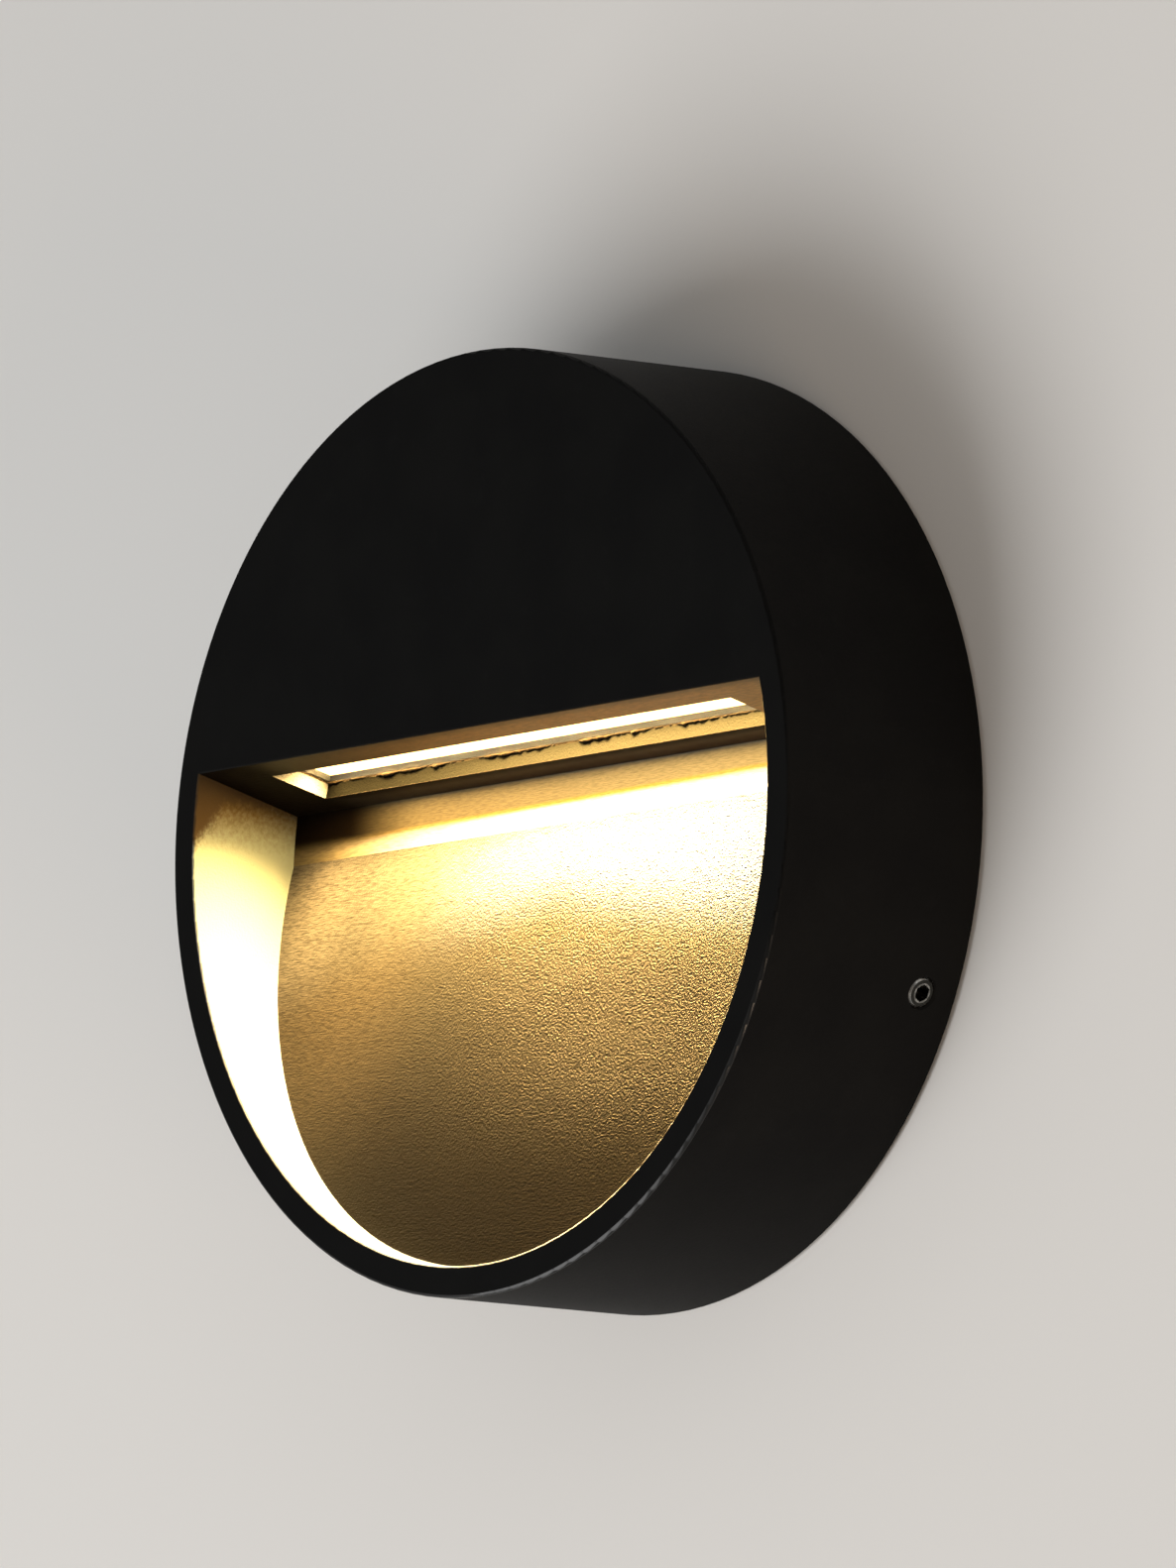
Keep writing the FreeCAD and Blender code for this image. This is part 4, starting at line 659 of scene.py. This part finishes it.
def dress_all():
    """Puts a finish on every piece."""
    dress(powder_coat(), "housing")
    dress(moulded("cover_coat", (0.016, 0.016, 0.017), 0.5, 0.3 * MM, 0.03 * MM), "rear_cover")
    dress(cast_metal("plate_skin", (0.60, 0.61, 0.62), 0.25 * MM, 0.32), "wall_plate")
    dress(cast_metal("carrier_skin", (0.55, 0.56, 0.57), 0.5 * MM, 0.45), "led_carrier")
    dress(pane(), "lens")
    dress(silicone("black_silicone", (0.0036, 0.0020, 0.0007), (0.0004, 0.0002, 0.0001)),
          "lens_gasket", "cover_gasket")
    dress(lit_opal(), "diffuser")
    dress(lit_phosphor(), "led_chips")
    dress(solder_mask("white_mask", (0.78, 0.79, 0.78), (0.66, 0.64, 0.58)), "led_board")
    dress(solder_mask("green_mask", (0.03, 0.17, 0.07), (0.06, 0.27, 0.10)), "driver_board")
    dress(turned_metal("screw_skin", (0.60, 0.60, 0.58)),
          "carrier_screws", "driver_screws", "cover_screws", "clamp_screws", "terminal_screws",
          "terminal_ties")
    dress(grub_steel(), "grub_screw_right", "grub_screw_left")
    dress(turned_metal("brass_skin", (0.68, 0.48, 0.18)), "terminal_inserts", "earth_screw")
    dress(turned_metal("tinned_skin", (0.70, 0.70, 0.68), 0.12 * MM), "earth_tag")
    dress(moulded("grommet_rubber", (0.022, 0.022, 0.022), 0.62, 0.3 * MM, 0.04 * MM),
          "plate_grommet", "cover_grommet")
    dress(foam(), "wall_gasket")
    dress(moulded("white_moulding", (0.76, 0.76, 0.73), 0.42),
          "led_connector", "driver_case", "driver_lid", "cord_clamp", "terminal_block")
    dress(sleeve("red_sleeve", (0.50, 0.03, 0.02)), "led_lead_red")
    dress(sleeve("black_sleeve", (0.015, 0.015, 0.015)), "led_lead_black")
    dress(sleeve("brown_sleeve", (0.13, 0.05, 0.02)), "live_lead")
    dress(sleeve("blue_sleeve", (0.02, 0.09, 0.40)), "neutral_lead")
    dress(sleeve("earth_sleeve", (0.05, 0.30, 0.05), (0.75, 0.62, 0.04)), "earth_lead")


def bridge(mesh, first, second):
    """Faces between two rings of corners, all the way round."""
    for k in range(len(first)):
        n = (k + 1) % len(first)
        mesh.faces.new((first[k], first[n], second[n], second[k]))


def place_mesh(name, mesh):
    """A finished mesh as a new object in the scene."""
    data = bpy.data.meshes.new(name)
    mesh.to_mesh(data)
    mesh.free()
    return place_object(name, data)


def make_bead():
    """The ragged bead of silicone squeezed out along the slot's rear edge."""
    chance = random.Random(7)
    mesh = bmesh.new()
    rings = []
    thick = BEAD_START
    count = int(2 * (SLOT_HALF_LENGTH - BEAD_END) / BEAD_STEP)
    for i in range(count + 1):
        x = -SLOT_HALF_LENGTH + BEAD_END + i * BEAD_STEP
        thick = min(BEAD_THICKEST, max(BEAD_THINNEST, thick + chance.uniform(-0.10, 0.10) * MM))
        droop = thick * chance.uniform(0.9, 1.25)
        along, off = SLOT_REAR - 0.8 * thick, LENS_BOTTOM - 0.05 * MM - droop
        ring = []
        for k in range(BEAD_SIDES):
            turn = 2 * math.pi * k / BEAD_SIDES
            out = thick * (1 + chance.uniform(-0.18, 0.18))
            shift = chance.uniform(-0.1, 0.1) * MM
            ring.append(mesh.verts.new(ceiling_point(
                x + shift, along + out * math.cos(turn), off + droop * math.sin(turn))))
        rings.append(ring)
    for first, second in zip(rings, rings[1:]):
        bridge(mesh, first, second)
    mesh.faces.new(reversed(rings[0]))
    mesh.faces.new(rings[-1])
    bmesh.ops.recalc_face_normals(mesh, faces=mesh.faces)
    bead = place_mesh("slot_bead", mesh)
    for face in bead.data.polygons:
        face.use_smooth = True
    bead_skin = silicone("bead_silicone", (0.0034, 0.0020, 0.0007), (0.0002, 0.0001, 0.0001))
    bead.data.materials.append(bead_skin)
    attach(bead, "housing")


def make_lamp(name, along, off, length, width, watts, spread=180.0):
    """A light at a place on the ceiling, on the housing, that shines down out of the slot."""
    data = bpy.data.lights.new(name, "AREA")
    data.shape = "RECTANGLE"
    data.size = length
    data.size_y = width
    data.energy = watts
    data.spread = math.radians(spread)
    data.color = LIT_COLOUR
    lamp = place_object(name, data)
    outwards = Vector((0, math.sin(TILT), math.cos(TILT)))
    backwards = Vector((0, math.cos(TILT), -math.sin(TILT)))
    turn = Matrix((Vector((1, 0, 0)), -backwards, outwards)).transposed()
    lamp.matrix_world = Matrix.Translation(ceiling_point(0, along, off)) @ turn.to_4x4()
    lamp.visible_camera = False
    lamp.visible_transmission = False
    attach(lamp, "housing")


def light_the_slot():
    """The strong light of the diffuser's face, and the weak one of the whole pane round it."""
    make_lamp("strip_light", LAMP_PLACE, LAMP_OFF, DIFFUSER_LENGTH, LAMP_WIDTH, LAMP_WATTS, LAMP_SPREAD)
    make_lamp("pane_glow", GLOW_PLACE, GLOW_OFF, GLOW_LENGTH, GLOW_WIDTH, GLOW_WATTS)


def clear_the_pane():
    """The lamp's light passes the pane unbent, so that it reaches the recess."""
    lens = NODES["lens"]
    lens.visible_shadow = False
    lens.visible_diffuse = False


def make_wall():
    """The pale wall behind the light, with a hole that the wall plate hides."""
    mesh = bmesh.new()
    inner, outer = [], []
    for i in range(WALL_STEPS):
        turn = 2 * math.pi * i / WALL_STEPS
        x, z = math.cos(turn), math.sin(turn)
        reach = WALL_SIZE / max(abs(x), abs(z))
        inner.append(mesh.verts.new((WALL_HOLE * x, WALL_GAP, WALL_HOLE * z)))
        outer.append(mesh.verts.new((reach * x, WALL_GAP, reach * z)))
    bridge(mesh, outer, inner)
    wall = place_mesh("wall", mesh)
    wall.data.materials.append(plaster())


def make_world():
    """A dim even studio round the light, with a pale ground that only the camera sees."""
    world = bpy.data.worlds.new("studio")
    bpy.context.scene.world = world
    studio = Shading(world, "ShaderNodeOutputWorld")
    room = studio.node("ShaderNodeBackground", {}, {"Color": rgba(ROOM_COLOUR), "Strength": ROOM_LEVEL})
    ground = studio.node("ShaderNodeBackground", {}, {"Color": rgba(GROUND_COLOUR), "Strength": 1.0})
    seen = studio.node("ShaderNodeLightPath", {}, {}, "Is Camera Ray")
    studio.finish_with(studio.blended(seen, room, ground))


def softbox(name, azimuth, elevation, distance, size, watts, colour=(1.0, 1.0, 1.0)):
    """A large square lamp that faces the light."""
    outwards = outwards_at(azimuth, elevation)
    data = bpy.data.lights.new(name, "AREA")
    data.size = size
    data.energy = watts
    data.color = colour
    lamp = place_object(name, data)
    lamp.location = outwards * distance
    lamp.rotation_mode = "QUATERNION"
    lamp.rotation_quaternion = (-outwards).to_track_quat("-Z", "Y")


def make_studio_lamps():
    softbox("key_softbox", -25, -35, 2.2, 1.6, 38)
    softbox("side_softbox", 60, 30, 2.6, 1.2, 3)
    softbox("rear_softbox", 200, 25, 2.4, 1.4, 30)
    softbox("low_softbox", 85, -30, 2.2, 1.2, 42, LOW_LAMP_COLOUR)


def make_camera():
    """The photograph's camera: a long lens from the right and slightly below."""
    outwards = outwards_at(CAMERA_AZIMUTH, CAMERA_ELEVATION)
    right = Vector((0, 0, 1)).cross(outwards).normalized()
    up = outwards.cross(right)
    towards_light = Matrix((right, up, outwards)).transposed()
    roll = Matrix.Rotation(math.radians(CAMERA_ROLL), 3, "Z")
    left = Matrix.Rotation(math.atan(ORIGIN_RIGHT_OF_MIDDLE / FOCAL_PIXELS), 3, "Y")
    raised = Matrix.Rotation(math.atan(ORIGIN_BELOW_MIDDLE / FOCAL_PIXELS), 3, "X")
    data = bpy.data.cameras.new("camera")
    data.sensor_width = SENSOR
    data.lens = FOCAL_PIXELS / PHOTO_HEIGHT * SENSOR
    camera = place_object("camera", data)
    turn = towards_light @ roll @ left @ raised
    camera.matrix_world = Matrix.Translation(outwards * CAMERA_DISTANCE) @ turn.to_4x4()
    bpy.context.scene.camera = camera


make_camera()
dress_all()
make_bead()
light_the_slot()
clear_the_pane()
make_wall()
make_world()
make_studio_lamps()
bpy.context.scene.view_settings.view_transform = "Standard"
